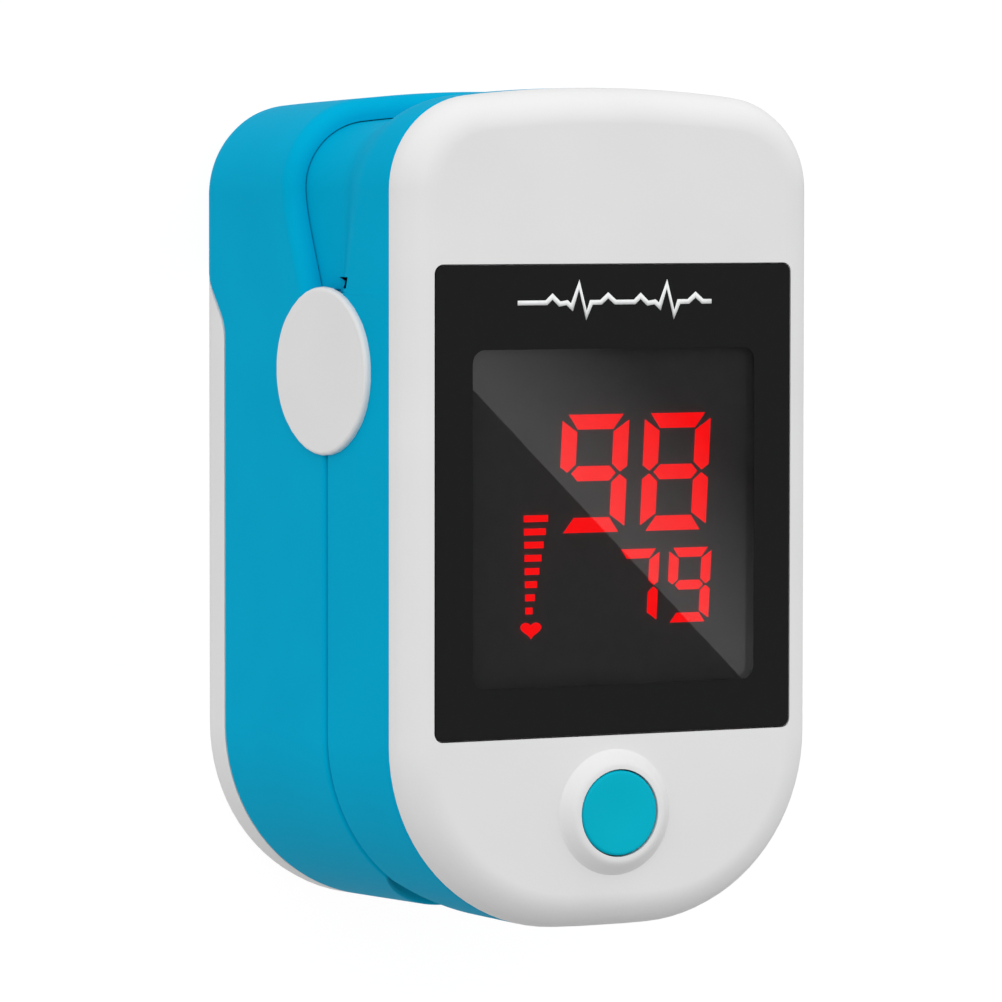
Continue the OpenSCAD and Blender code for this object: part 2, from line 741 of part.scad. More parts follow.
// Soft arch that presses on the nail, with lands at its sides and a stop at its end
module upper_finger_pad() {
    color([0.42, 0.43, 0.45]) difference() {
        intersection() {
            slice(upper_land_z, floor_z) outline(wall + seat);
            union() {
                bore_y(-half_l, pad_end_y, arch_z, arch_r + pad_t);
                block(-pad_half_w, pad_half_w, -half_l, pad_end_y, upper_land_z, upper_land_z + pad_t);
            }
            block(-pad_half_w, pad_half_w, -half_l, pad_end_y, 0, far);
        }
        bore_y(-half_l - 1, pad_end_y - stop_t, arch_z, arch_r);
        translate([0, sensor_y, arch_z]) cylinder(r = sensor_r + 0.1, h = far);
    }
}

// Light source over the nail, with its legs through the board
module light_emitter() {
    color("ivory") {
        half_x = 1.7;
        half_y = 1.5;
        top_z = floor_z + 0.2;
        block(-half_x, half_x, sensor_y - half_y, sensor_y + half_y, arch_top_z + lens_t + fit, top_z);
        both_sides() translate([1.1, sensor_y, top_z]) cylinder(r = 0.25, h = board_z - top_z, $fn = 24);
    }
}

module emitter_window() {
    color("whitesmoke") translate([0, sensor_y, arch_top_z]) cylinder(r = sensor_r, h = lens_t);
}

module screw(shank_l) {
    translate([0, 0, -screw_head_h]) difference() {
        cylinder(r = screw_head_r, h = screw_head_h);
        for (turn = [0, 90]) rotate(turn) translate([-1.1, -0.2, -1]) cube([2.2, 0.4, 1.6]);
    }
    cylinder(r = screw_r, h = shank_l);
}

module frame_screws() {
    color("silver") at_cover_screws() translate([0, 0, floor_z - board_top_z]) screw(cover_in_z - floor_z - 0.4);
}

// ---------------------------------------------------------------- lower half

// Side view of the battery door, in (Y, Z); gap moves its edge outwards
module door_side(gap) {
    bend_r = 3;
    below = 2;
    crest_y = door_foot_y - door_z / tan(door_slant) - bend_r * tan(door_slant / 2);
    foot = [door_foot_y + below / tan(door_slant), -below];
    shift = [gap, gap];
    polygon(concat(
        [[-far, -below], foot + shift],
        [for (p = arc_points([crest_y, door_z - bend_r], bend_r, 90 - door_slant, 90)) p + shift],
        [[-far, door_z + gap]]));
}

// Rim that climbs from the squeeze end to an ear
module climbing_rim() {
    lead = 0.9;
    strip_h = 5;
    intersection() {
        translate([half_w, squeeze_corner_y, rim_z - lead * tan(rim_slope)]) rotate([90 - rim_slope, 0, 0])
            linear_extrude(2 * ear_r) mirror([0, 1]) rounded_strip(wall, strip_h, rim_round);
        block(inner_x - 1, half_w + 1, ear_end_y - 1, far, 0, far);
    }
}

// Tub of the lower shell from the finger opening to the ears, with the lower half of the mouth
module finger_tub() {
    mouth_r = chord_radius(mouth_half_w, mouth_drop);
    difference() {
        intersection() {
            tub_wall(lower_top_z, seam_round + 0.1);
            block(-far, far, -far, ear_end_y, -1, far);
        }
        across(-half_w - 1, half_w + 1) door_side(door_gap);
        along(-half_l - 1, finger_corner_y - 8)
            polygon(arc_points([0, lower_top_z - mouth_drop + mouth_r], mouth_r, 200, 340, 40));
        both_sides() disc_x(inner_x - 1, half_w + 1, pin_r + 0.02);
    }
}

// Tub round the squeeze end, hollowed to clear the swinging neck, and its floor with the lanyard holes
module squeeze_tub() {
    difference() {
        intersection() {
            body_wall(0, rim_z, back_round, rim_round, tub_band);
            block(-far, far, ear_end_y, far, -1, far);
        }
        slice(wall, far) neck_plan(-ear_gap);
        across(-half_w - 1, half_w + 1) door_side(door_gap);
    }
    difference() {
        slice(0, wall) outline(back_round);
        across(-half_w - 1, half_w + 1) door_side(door_gap);
        both_sides() translate([lanyard_pitch / 2, tail_y, -1]) cylinder(r = lanyard_r, h = 4);
    }
}

module hinge_ear() {
    difference() {
        union() {
            disc_x(inner_x, half_w, ear_r);
            block(inner_x, half_w, hinge_y, ear_end_y, rim_z - 2, hinge_z);
        }
        disc_x(inner_x - 1, half_w + 1, pin_r + 0.02);
    }
}

// Lip with the door's groove, two ledges under the tray and the boss for its screw
module tray_seats() {
    difference() {
        block(rail_lip_in, inner_x + 0.2, rail_lip_y, rail_lip_end_y, 2, 6.5);
        block(inner_x - seat, half_w, -far, far, -1, door_z + door_gap);
        block(inner_x - 0.8, half_w, -far, far, 2.6, 3.6);
    }
    for (y = [-12, 0]) block(rail_lip_in - 1, inner_x + 0.2, y - 1.5, y + 1.5, deck_z - 1.6, deck_z);
    difference() {
        translate([tail_x, tail_y, wall - 0.1]) cylinder(r = screw_head_r + 0.2, h = tail_z - wall + 0.1);
        translate([tail_x, tail_y, wall]) cylinder(r = screw_r + 0.02, h = far);
    }
}

// Blue half that lies on the battery door: a tub with two hinge ears, a rim and an open mouth
module lower_shell() {
    color([0, 0.6, 0.76]) {
        finger_tub();
        squeeze_tub();
        both_sides() {
            hinge_ear();
            climbing_rim();
            tray_seats();
        }
    }
}

// Inner frame: roof of the battery bay, rails under the pad, and posts for the hinge pins
module battery_tray() {
    color("gainsboro") difference() {
        union() {
            intersection() {
                slice(bay_bottom_z, far) outline(wall + seat);
                union() {
                    block(-half_w, half_w, -half_l, 2, deck_z, deck_top_z);
                    block(-bay_out, bay_out, 0, bay_end_y + bay_wall, deck_z, deck_top_z);
                    both_sides() {
                        block(rail_in, pad_half_w, -half_l, pad_end_y, deck_z, lower_land_z - pad_t);
                        block(bay_half_w, bay_out, bay_y - bay_wall, bay_end_y + bay_wall, 0, deck_top_z);
                        block(tail_x - 2.6, tail_x + 2.6, bay_end_y, tail_y + 2, tail_z, tail_z + tail_t);
                    }
                    for (y = [bay_y - bay_wall, bay_end_y])
                        block(-bay_half_w - 1, bay_half_w + 1, y, y + bay_wall, 0, deck_top_z);
                }
            }
            both_sides() {
                disc_x(post_in, post_out, post_r);
                block(post_in, post_out, hinge_y - post_r, hinge_y + post_r, deck_z, hinge_z);
            }
        }
        both_sides() {
            disc_x(post_in - 1, post_out + 1, pin_r + 0.02);
            translate([tail_x, tail_y, 0]) cylinder(r = screw_r + 0.2, h = 9);
        }
        block(-3, 3, pad_end_y - 3, pad_end_y + 0.01, deck_top_z - 0.4, far);
    }
}

// Soft trough that the fingertip lies in, with lands at its sides and a stop at its end
module lower_finger_pad() {
    color([0.42, 0.43, 0.45]) difference() {
        intersection() {
            slice(trough_floor_z - pad_t, lower_land_z) outline(wall + seat);
            union() {
                bore_y(-half_l, pad_end_y, trough_z, trough_r + pad_t);
                block(-pad_half_w, pad_half_w, -half_l, pad_end_y, lower_land_z - pad_t, lower_land_z);
            }
            block(-pad_half_w, pad_half_w, -half_l, pad_end_y, 0, far);
        }
        bore_y(-half_l - 1, pad_end_y - stop_t, trough_z, trough_r);
        translate([0, sensor_y, 0]) cylinder(r = sensor_r + 0.1, h = trough_z);
        block(-4.2, 4.2, sensor_y - 5.2, sensor_y + 5.2, 0, deck_top_z + 0.8);
        block(-2.7, 2.7, sensor_y, pad_end_y + 1, 0, deck_top_z + 0.55);
    }
}

sensor_board_t = 0.5;
module detector_board() {
    color("darkgreen") block(-4, 4, sensor_y - 5, sensor_y + 5, deck_top_z, deck_top_z + sensor_board_t);
}

module photodetector() {
    half = 1.6;
    color([0.2, 0.2, 0.22]) block(-half, half, sensor_y - half, sensor_y + half, deck_top_z + sensor_board_t,
        trough_floor_z - lens_t + fit / 2);
}

module detector_window() {
    color("whitesmoke") translate([0, sensor_y, trough_floor_z - lens_t + fit])
        cylinder(r = sensor_r, h = lens_t);
}

// Cell with its nub towards +Y
module cell() {
    body_len = cell_l - nub_l;
    rotate([-90, 0, 0]) rotate_extrude() {
        square([cell_r - 0.3, body_len]);
        translate([0, 0.3]) square([cell_r, body_len - 0.6]);
        for (y = [0.3, body_len - 0.3]) translate([cell_r - 0.3, y]) circle(r = 0.3, $fn = 24);
        square([nub_r, cell_l]);
    }
}

left_cell_y = bay_y + plate_t + contact_l;
right_cell_y = bay_y + plate_t + cell_l + 0.02;
module battery_left() { color("darkslategray") translate([-cell_x, left_cell_y, cell_z]) cell(); }
module battery_right() {
    color("darkslategray") translate([cell_x, right_cell_y, cell_z]) rotate([0, 0, 180]) cell();
}

module battery_link_plate() {
    color("silver") block(-cell_x - plate_reach, cell_x + plate_reach, bay_y, bay_y + plate_t,
        cell_z - plate_half_h, cell_z + plate_half_h);
}

module battery_terminals() {
    color("silver") both_sides()
        block(cell_x - plate_reach, cell_x + plate_reach, bay_end_y - plate_t, bay_end_y,
            cell_z - plate_half_h, cell_z + plate_half_h);
}

// Tapered contact coil that stands on the plane y = 0 and points to +Y
module contact_coil(l) {
    turns = 3.5;
    steps = 42;
    wire_r = 0.22;
    wire([for (i = [0:steps]) let (a = 360 * turns * i / steps, r = 2.9 - 1.2 * i / steps)
        [r * cos(a), wire_r + 0.02 + (l - 2 * wire_r - 0.04) * i / steps, r * sin(a)]], wire_r, [0, 1, 0], 6);
}

module battery_springs() {
    color("silver") {
        translate([-cell_x, bay_y + plate_t, cell_z]) contact_coil(contact_l);
        translate([cell_x, bay_end_y - plate_t, cell_z]) mirror([0, 1, 0])
            contact_coil(bay_end_y - plate_t - right_cell_y);
    }
}

// ---------------------------------------------------------------- hinge

module hinge_pin() { disc_x(post_in + 0.1, half_w - 0.1, pin_r); }
module hinge_pin_right() { color("silver") hinge_pin(); }
module hinge_pin_left() { color("silver") mirror([1, 0, 0]) hinge_pin(); }

// Coil on the hinge pin; one leg stands on the tray, the other lifts the upper half's floor
module torsion_spring() {
    coil_r = pin_r + 0.3 + spring_wire_r;
    x0 = post_out + 0.15 + spring_wire_r;
    x1 = lug_in - 0.15 - spring_wire_r;
    foot_run = 7;
    foot = [foot_run, deck_top_z + spring_wire_r + 0.05 - hinge_z];
    head = [foot_run + 1.5, floor_z - spring_wire_r - 0.05 - hinge_z];
    a0 = atan2(foot.y, foot.x) - acos(coil_r / norm(foot));
    a1 = atan2(head.y, head.x) + acos(coil_r / norm(head));
    sweep_a = -360 * spring_turns + (a1 - a0);
    steps = 14 * spring_turns;
    coil = [for (i = [0:steps]) let (a = a0 + sweep_a * i / steps)
        [x0 + (x1 - x0) * i / steps, hinge_y + coil_r * cos(a), hinge_z + coil_r * sin(a)]];
    wire(concat([[x0, hinge_y + foot.x, hinge_z + foot.y]], coil, [[x1, hinge_y + head.x, hinge_z + head.y]]),
        spring_wire_r, [1, 0, 0], 8);
}
module torsion_spring_right() { color("silver") torsion_spring(); }
module torsion_spring_left() { color("silver") mirror([1, 0, 0]) torsion_spring(); }

// Oval cap over the hinge: four arcs that meet in line, with a rounded edge
cap_round = 0.3;
module hinge_cap() {
    a = cap_w / 2;
    end_off = cap_h / 2 - cap_end_r;
    side_r = (a * a + end_off * end_off - cap_end_r * cap_end_r) / (2 * (a - cap_end_r));
    side_off = side_r - a;
    turn = atan2(end_off, side_off);
    function quarter(d) = concat(
        arc_points([-side_off, 0], side_r - d, 0, turn, 5),
        arc_points([0, end_off], cap_end_r - d, turn + 5, 85, 9));
    function half(d) = let (q = quarter(d)) concat(q, [for (i = [len(q) - 1:-1:1]) [-q[i].x, q[i].y]]);
    function oval(d) = concat(half(d), [for (p = half(d)) -p]);
    levels = concat([[0, 0]], edge_levels(cap_proud, cap_round, 1, 5));
    translate([half_w, hinge_y, hinge_z]) rotate([90, 0, 90])
        loft([for (l = levels) [for (p = oval(l[1])) [p.x, p.y, l[0]]]]);
}
module hinge_cap_right() { color("gainsboro") hinge_cap(); }
module hinge_cap_left() { color("gainsboro") mirror([1, 0, 0]) hinge_cap(); }

// Flat ribbon from the detector up to the main board, in side view
module flex_cable() {
    t = 0.2;
    y0 = sensor_y + 5;
    y1 = pad_end_y + 1.6;
    z0 = deck_top_z + 0.05;
    z1 = board_z - 0.02;
    color("darkorange") across(-2.4, 2.4) {
        translate([y0, z0]) square([y1 - y0, t]);
        translate([y1 - t, z0]) square([t, z1 - z0]);
        translate([y1 - t, z1 - t]) square([4, t]);
    }
}

module tray_screws() {
    seat_z = tail_z + tail_t;
    color("silver") both_sides() translate([tail_x, tail_y, seat_z]) mirror([0, 0, 1]) screw(seat_z - wall - 0.4);
}

// Sliding back cover, with a rib on each side that runs in the shell's rails and two tongues at its end
tongue_in = bay_out + seat;
tongue_out = rail_lip_in - seat;
tongue_y = door_foot_y - 6;
tongue_z = wall + 0.2;
module battery_door() {
    color("gainsboro") {
        intersection() {
            difference() {
                body_solid(0, door_z + 2, back_round, seam_round);
                slice(wall, far) outline(wall);
            }
            across(-half_w, half_w) door_side(0);
        }
        both_sides() {
            block(inner_x - 0.6, inner_x + 0.2, rail_lip_y + 1, rail_lip_end_y - 1, 2.8, 3.4);
            block(tongue_in, tongue_out, tongue_y, door_foot_y - 3.8, wall - fit, tongue_z + 1);
            block(tongue_in, tongue_out, tongue_y, door_foot_y + 2, tongue_z, tongue_z + 1);
        }
    }
}

front_cover();
display_window();
led_display();
display_segments();
main_board();
processor_chip();
board_components();
power_switch();
switch_plunger();
power_button();
upper_frame();
upper_finger_pad();
light_emitter();
emitter_window();
frame_screws();
lower_shell();
battery_tray();
lower_finger_pad();
detector_board();
photodetector();
detector_window();
battery_left();
battery_right();
battery_link_plate();
battery_terminals();
battery_springs();
hinge_pin_left();
hinge_pin_right();
torsion_spring_left();
torsion_spring_right();
hinge_cap_left();
hinge_cap_right();
flex_cable();
tray_screws();
battery_door();
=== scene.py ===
import math

import bmesh
import bpy
import numpy as np
from mathutils import Matrix, Vector


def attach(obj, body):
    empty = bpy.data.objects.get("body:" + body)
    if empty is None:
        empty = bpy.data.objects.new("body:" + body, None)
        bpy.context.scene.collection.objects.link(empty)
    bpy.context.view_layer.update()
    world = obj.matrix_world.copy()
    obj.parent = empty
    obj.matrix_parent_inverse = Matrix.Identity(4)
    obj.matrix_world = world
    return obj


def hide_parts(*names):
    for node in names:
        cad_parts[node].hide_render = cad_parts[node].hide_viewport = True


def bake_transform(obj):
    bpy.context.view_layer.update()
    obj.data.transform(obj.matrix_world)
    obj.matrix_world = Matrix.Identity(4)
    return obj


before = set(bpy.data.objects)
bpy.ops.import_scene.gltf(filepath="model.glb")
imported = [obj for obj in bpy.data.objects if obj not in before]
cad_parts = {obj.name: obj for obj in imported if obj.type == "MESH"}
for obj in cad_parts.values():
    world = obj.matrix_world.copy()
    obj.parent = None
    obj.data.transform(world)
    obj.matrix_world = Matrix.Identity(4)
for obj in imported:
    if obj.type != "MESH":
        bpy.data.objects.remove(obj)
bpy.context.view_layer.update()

scene = bpy.context.scene
MM = 0.001


# ---- Camera ---------------------------------------------------------------------------------
# A long lens half a metre away, a little to the right of the display and above the middle,
# with the squeeze end up.
yaw, pitch, roll = math.radians(28.541), math.radians(2.913), math.radians(0.059)
shift_right, shift_up, distance = 8.254, -0.955, 488.284
towards = Vector((-math.sin(yaw) * math.cos(pitch), math.sin(pitch), math.cos(yaw) * math.cos(pitch)))
right = Vector((math.cos(yaw), 0, math.sin(yaw)))
up = towards.cross(right)
right, up = (right * math.cos(roll) + up * math.sin(roll), up * math.cos(roll) - right * math.sin(roll))
lens = bpy.data.cameras.new("camera")
lens.lens, lens.sensor_width = 227.24, 36
lens.clip_start, lens.clip_end = 0.01, 10
camera = bpy.data.objects.new("camera", lens)
scene.collection.objects.link(camera)
place = (shift_right * right + shift_up * up + distance * towards) * MM
camera.matrix_world = Matrix.Translation(place) @ Matrix((right, up, towards)).transposed().to_4x4()
scene.camera = camera


# ---- Light ----------------------------------------------------------------------------------
# A white tent lights the device evenly, with a black card beyond the finger end. A weak soft box
# stands above the left corner of the squeeze end. Polished faces mirror a darker tent overhead,
# so they stay black, and a strip light whose straight edge crosses the panel.
def add(tree, kind, inputs=None, **fields):
    """Adds a node, sets its own fields, and fills its sockets: a socket given as the value is
    linked, anything else is typed in."""
    made = tree.nodes.new(kind)
    for key, value in fields.items():
        setattr(made, key, value)
    for key, value in (inputs or {}).items():
        if isinstance(value, bpy.types.NodeSocket):
            tree.links.new(value, made.inputs[key])
        else:
            made.inputs[key].default_value = value
    return made


scene.view_settings.view_transform = "Standard"
scene.world = bpy.data.worlds.new("studio")
scene.world.use_nodes = True
air = scene.world.node_tree
air.nodes.clear()
ray = add(air, "ShaderNodeLightPath")
way = add(air, "ShaderNodeTexCoord").outputs["Generated"]
# Strip light: its edge is a plane through the origin, and its brightness fades away from it.
strip_edge = (0.65481, 0.68157, -0.32661)
side_of = add(air, "ShaderNodeVectorMath", {0: way, 1: strip_edge}, operation="DOT_PRODUCT").outputs["Value"]
past = add(air, "ShaderNodeMath", {0: side_of, 1: 0.0}, operation="GREATER_THAN").outputs[0]
fade = add(air, "ShaderNodeMapRange", {0: side_of, 1: 0.003, 2: 0.022, 3: 0.56, 4: 0.0}).outputs[0]
strip = add(air, "ShaderNodeMath", {0: past, 1: fade}, operation="MULTIPLY").outputs[0]
# Tent: dark where the card hides it, even beyond, and a little brighter towards +Y.
axes = add(air, "ShaderNodeSeparateXYZ", {0: way}).outputs
card = add(air, "ShaderNodeMapRange", {0: axes["Y"], 1: -0.7, 2: 0.0, 3: 0.05, 4: 1.22}).outputs[0]
lift = add(air, "ShaderNodeMath", {0: axes["Y"], 1: 0.0}, operation="MAXIMUM").outputs[0]
tent = add(air, "ShaderNodeMath", {0: lift, 1: 0.12, 2: card}, operation="MULTIPLY_ADD").outputs[0]
# What polished faces mirror: the bright tent low down, the dark round the camera, and the strip.
around = add(air, "ShaderNodeMapRange", {0: axes["Z"], 1: 0.05, 2: 0.45, 3: 1.0, 4: 0.08}).outputs[0]
mirrored = add(air, "ShaderNodeMath", {0: strip, 1: around}, operation="ADD").outputs[0]
shown = add(air, "ShaderNodeMath", {0: ray.outputs["Is Glossy Ray"], 1: ray.outputs["Is Transmission Ray"]},
    operation="MAXIMUM").outputs[0]
ambient = add(air, "ShaderNodeMix", {0: shown, 2: tent, 3: mirrored}, data_type="FLOAT").outputs[0]
strength = add(air, "ShaderNodeMix", {0: ray.outputs["Is Camera Ray"], 2: ambient, 3: 1.0}, data_type="FLOAT")
sky = add(air, "ShaderNodeBackground", {"Color": (1, 1, 1, 1), "Strength": strength.outputs[0]})
add(air, "ShaderNodeOutputWorld", {"Surface": sky.outputs[0]})


def soft_box(name, size, watts, place):
    """A square area lamp of the given side in metres, aimed at the middle of the device."""
    lamp = bpy.data.lights.new(name, "AREA")
    lamp.size, lamp.energy = size, watts
    held = bpy.data.objects.new(name, lamp)
    scene.collection.objects.link(held)
    held.location = place
    held.rotation_mode = "QUATERNION"
    held.rotation_quaternion = (Vector((0, 0, 0.02)) - Vector(place)).to_track_quat("-Z", "Y")


soft_box("key_box", 0.5, 1.7, (-0.58, 0.36, 1.0))


# ---- Floor ----------------------------------------------------------------------------------
# A sheet of white paper that the device lies on: it shines white to the camera and keeps a faint
# shadow, gives the underside a soft light, and lets the view through from below.
def grid_mesh(name, points, wrap_u=False, wrap_v=False):
    """Mesh of a surface given as an array [u, v, xyz]: each cell is one quad, and a wrapped
    direction is closed from its last row to its first."""
    nu, nv = points.shape[:2]
    u = np.arange(nu if wrap_u else nu - 1)[:, None]
    v = np.arange(nv if wrap_v else nv - 1)[None, :]
    u2, v2 = (u + 1) % nu, (v + 1) % nv
    quads = np.stack([u * nv + v, u2 * nv + v, u2 * nv + v2, u * nv + v2], axis=-1).reshape(-1, 4)
    mesh = bpy.data.meshes.new(name)
    mesh.vertices.add(nu * nv)
    mesh.vertices.foreach_set("co", np.ascontiguousarray(points, dtype=np.float32).ravel() * MM)
    mesh.loops.add(quads.size)
    mesh.loops.foreach_set("vertex_index", quads.ravel().astype(np.int32))
    mesh.polygons.add(len(quads))
    mesh.polygons.foreach_set("loop_start", np.arange(0, quads.size, 4, dtype=np.int32))
    mesh.update(calc_edges=True)
    mesh.validate()
    return mesh


def placed(name, mesh):
    """The object that shows a mesh, at the origin."""
    made = bpy.data.objects.new(name, mesh)
    scene.collection.objects.link(made)
    return made


FLOOR_REACH = 1500
reach = np.array([-FLOOR_REACH, FLOOR_REACH])
flat = np.stack(np.broadcast_arrays(reach[:, None], reach[None, :], 0.0), axis=-1)
floor = placed("paper_floor", grid_mesh("paper_floor", flat))
paper = bpy.data.materials.new("white_paper")
paper.use_nodes = True
sheet = paper.node_tree
sheet.nodes.clear()
ray = add(sheet, "ShaderNodeLightPath")
seen = add(sheet, "ShaderNodeMath", {0: ray.outputs["Is Camera Ray"], 1: ray.outputs["Is Transmission Ray"]},
    operation="MAXIMUM")
lit = add(sheet, "ShaderNodeEmission", {"Color": (1, 1, 1, 1), "Strength": 0.78})
shadow = add(sheet, "ShaderNodeBsdfDiffuse", {"Color": (0.10, 0.10, 0.10, 1)})
shine = add(sheet, "ShaderNodeEmission", {"Color": (1, 1, 1, 1), "Strength": 0.93})
bright = add(sheet, "ShaderNodeAddShader", {0: shadow.outputs[0], 1: shine.outputs[0]})
front = add(sheet, "ShaderNodeMixShader", {0: seen.outputs[0], 1: lit.outputs[0], 2: bright.outputs[0]})
behind = add(sheet, "ShaderNodeNewGeometry").outputs["Backfacing"]
clear = add(sheet, "ShaderNodeBsdfTransparent")
both = add(sheet, "ShaderNodeMixShader", {0: behind, 1: front.outputs[0], 2: clear.outputs[0]})
add(sheet, "ShaderNodeOutputMaterial", {"Surface": both.outputs[0]})
floor.data.materials.append(paper)


# ---- Front cover ----------------------------------------------------------------------------
# The white face of the device: one injection moulding in ABS, 1.6 mm thick, with a finely
# spark-eroded surface. Four screws hold it down through the blue frame.
def linear(code):
    """sRGB hex colour turned linear: the sRGB curve is undone channel by channel."""
    c = np.array([int(code[i:i + 2], 16) for i in (1, 3, 5)]) / 255
    return (*np.where(c <= 0.04045, c / 12.92, ((c + 0.055) / 1.055) ** 2.4), 1.0)


def finish(name, **sockets):
    """A new material: its tree, its Principled shader with the given sockets typed in, and its
    Object coordinates turned into millimetres."""
    made = bpy.data.materials.new(name)
    made.use_nodes = True
    tree = made.node_tree
    skin = tree.nodes["Principled BSDF"]
    for key, value in sockets.items():
        skin.inputs[key.replace("_", " ")].default_value = value
    here = add(tree, "ShaderNodeTexCoord").outputs["Object"]
    mm = add(tree, "ShaderNodeVectorMath", {0: here, "Scale": 1 / MM}, operation="SCALE").outputs[0]
    return made, tree, skin, mm


def noise(tree, place, size, detail=2.0):
    """Cloudy noise whose patches are about the given number of millimetres across."""
    made = add(tree, "ShaderNodeTexNoise", {"Vector": place, "Scale": 1 / size, "Detail": detail})
    return made.outputs["Fac"]


def between(tree, fac, low, high, start=0.0, end=1.0):
    """A value that runs from low to high while fac runs from start to end."""
    return add(tree, "ShaderNodeMapRange", {0: fac, 1: start, 2: end, 3: low, 4: high}).outputs[0]


def blend(tree, fac, first, second):
    """Colour that goes from the first to the second: each is a hex code or a socket."""
    first, second = (linear(c) if isinstance(c, str) else c for c in (first, second))
    return add(tree, "ShaderNodeMix", {0: fac, 6: first, 7: second}, data_type="RGBA").outputs[2]


def bumped(tree, skin, height, depth, strength=1.0):
    """Tilts the shading by a height field; depth is the field's full height in millimetres."""
    bump = add(tree, "ShaderNodeBump", {"Height": height, "Distance": depth * MM, "Strength": strength})
    tree.links.new(bump.outputs[0], skin.inputs["Normal"])


def moulded(name, main, worn, rough, level, grain=0.28, depth=0.006):
    """Moulded plastic: a fine spark-eroded grain, slight flow clouds in its colour, and a sheen
    that varies by a few hundredths."""
    made, tree, skin, mm = finish(name, IOR=1.53, Specular_IOR_Level=level)
    flow = noise(tree, mm, 9.0)
    spark = noise(tree, mm, grain, 3.0)
    tree.links.new(blend(tree, between(tree, flow, 0, 1, 0.3, 0.7), main, worn), skin.inputs["Base Color"])
    tree.links.new(between(tree, spark, rough - 0.04, rough + 0.04, 0.3, 0.7), skin.inputs["Roughness"])
    bumped(tree, skin, spark, depth)
    return made


# White ABS, spark-eroded mould: an even, soft satin white that shows no reflections.
white_abs = moulded("white_abs_spark_eroded", "#DFDFDF", "#DCDCDC", 0.42, 0.3)


def moulding(name, node, body, material, angle=32):
    """Shaded copy of a CAD part: its triangles are joined, edges sharper than the angle stay
    crisp, and the rest is smooth with the flat faces kept flat."""
    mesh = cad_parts[node].data.copy()
    mesh.name = name
    made = placed(name, mesh)
    joined = bmesh.new()
    joined.from_mesh(mesh)
    bmesh.ops.remove_doubles(joined, verts=joined.verts, dist=2e-6)
    bmesh.ops.dissolve_degenerate(joined, edges=joined.edges, dist=1e-7)
    joined.to_mesh(mesh)
    joined.free()
    shaded(made, angle)
    clad(made, body, material)
    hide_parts(node)
    return made


def shaded(made, angle):
    """Smooth shading, broken at edges sharper than the angle in degrees; large faces rule the normals."""
    mesh = made.data
    if mesh.attributes.get("custom_normal"):
        mesh.attributes.remove(mesh.attributes["custom_normal"])
    mesh.shade_smooth()
    mesh.set_sharp_from_angle(angle=math.radians(angle))
    weigh = made.modifiers.new("even_normals", "WEIGHTED_NORMAL")
    weigh.mode, weigh.weight, weigh.keep_sharp = "FACE_AREA", 50, True


def clad(made, body, material):
    """Gives a piece its material, and its body where the body is a name. Where the body is two points in
    millimetres, the points are not used: the piece's place is baked into its mesh, under no body."""
    if isinstance(body, str):
        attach(made, body)
    else:
        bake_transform(made)
    made.data.materials.clear()
    made.data.materials.append(material)


moulding("front_cover_moulding", "front_cover", "upper_half", white_abs)


# ---- Display window -------------------------------------------------------------------------
# Acrylic panel 0.95 mm thick, glued into the recess of the cover. It is screen-printed black
# round a clear field, so the border is satin black and the field looks like dark glass.
FIELD_MID, FIELD_HALF, FIELD_CORNER = (0.0, -0.525), (11.7, 12.175), 1.0
PANEL_MID_Z = 34.0


def inside(tree, mm, centre, half, corner):
    """1 within a rounded rectangle: the distance outside its core is under the corner radius."""
    off = add(tree, "ShaderNodeVectorMath", {0: mm, 1: (*centre, 0)}, operation="SUBTRACT").outputs[0]
    off = add(tree, "ShaderNodeVectorMath", {0: off}, operation="ABSOLUTE").outputs[0]
    core = (half[0] - corner, half[1] - corner, 100)
    off = add(tree, "ShaderNodeVectorMath", {0: off, 1: core}, operation="SUBTRACT").outputs[0]
    off = add(tree, "ShaderNodeVectorMath", {0: off, 1: (0, 0, 0)}, operation="MAXIMUM").outputs[0]
    far = add(tree, "ShaderNodeVectorMath", {0: off}, operation="LENGTH").outputs["Value"]
    return add(tree, "ShaderNodeMath", {0: far, 1: corner}, operation="LESS_THAN").outputs[0]


def along_axis(tree, mm, axis):
    """One coordinate in millimetres."""
    return add(tree, "ShaderNodeSeparateXYZ", {0: mm}).outputs[axis]


def dress(nodes, material):
    """Gives CAD parts their material."""
    for node in nodes:
        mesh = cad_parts[node].data
        mesh.materials.clear()
        mesh.materials.append(material)


# Printed acrylic: the clear field is polished and transparent, and the border is black ink with
# a soft satin surface and faint cloudy patches. The back is clear all over.
acrylic, tree, skin, mm = finish("acrylic_screen_printed", IOR=1.49)
field = inside(tree, mm, FIELD_MID, FIELD_HALF, FIELD_CORNER)
under = along_axis(tree, mm, "Z")
under = add(tree, "ShaderNodeMath", {0: under, 1: PANEL_MID_Z}, operation="LESS_THAN").outputs[0]
field = add(tree, "ShaderNodeMath", {0: field, 1: under}, operation="MAXIMUM").outputs[0]
ink = blend(tree, noise(tree, mm, 0.5), "#141415", "#19191A")
tree.links.new(blend(tree, field, ink, "#F4F4F4"), skin.inputs["Base Color"])
tree.links.new(field, skin.inputs["Transmission Weight"])
tree.links.new(between(tree, field, 0.42, 0.0), skin.inputs["Roughness"])
dress(["display_window"], acrylic)


# ---- Panel print ----------------------------------------------------------------------------
# A pulse trace on the panel's upper border: two heartbeats between two level ends, one line of
# light grey ink, screen-printed 0.03 mm thick on the black.
TRACE_Y, TRACE_HALF, TRACE_W = 15.0, 8.05, 0.34
INK_Z0, INK_Z1 = 34.54, 34.57


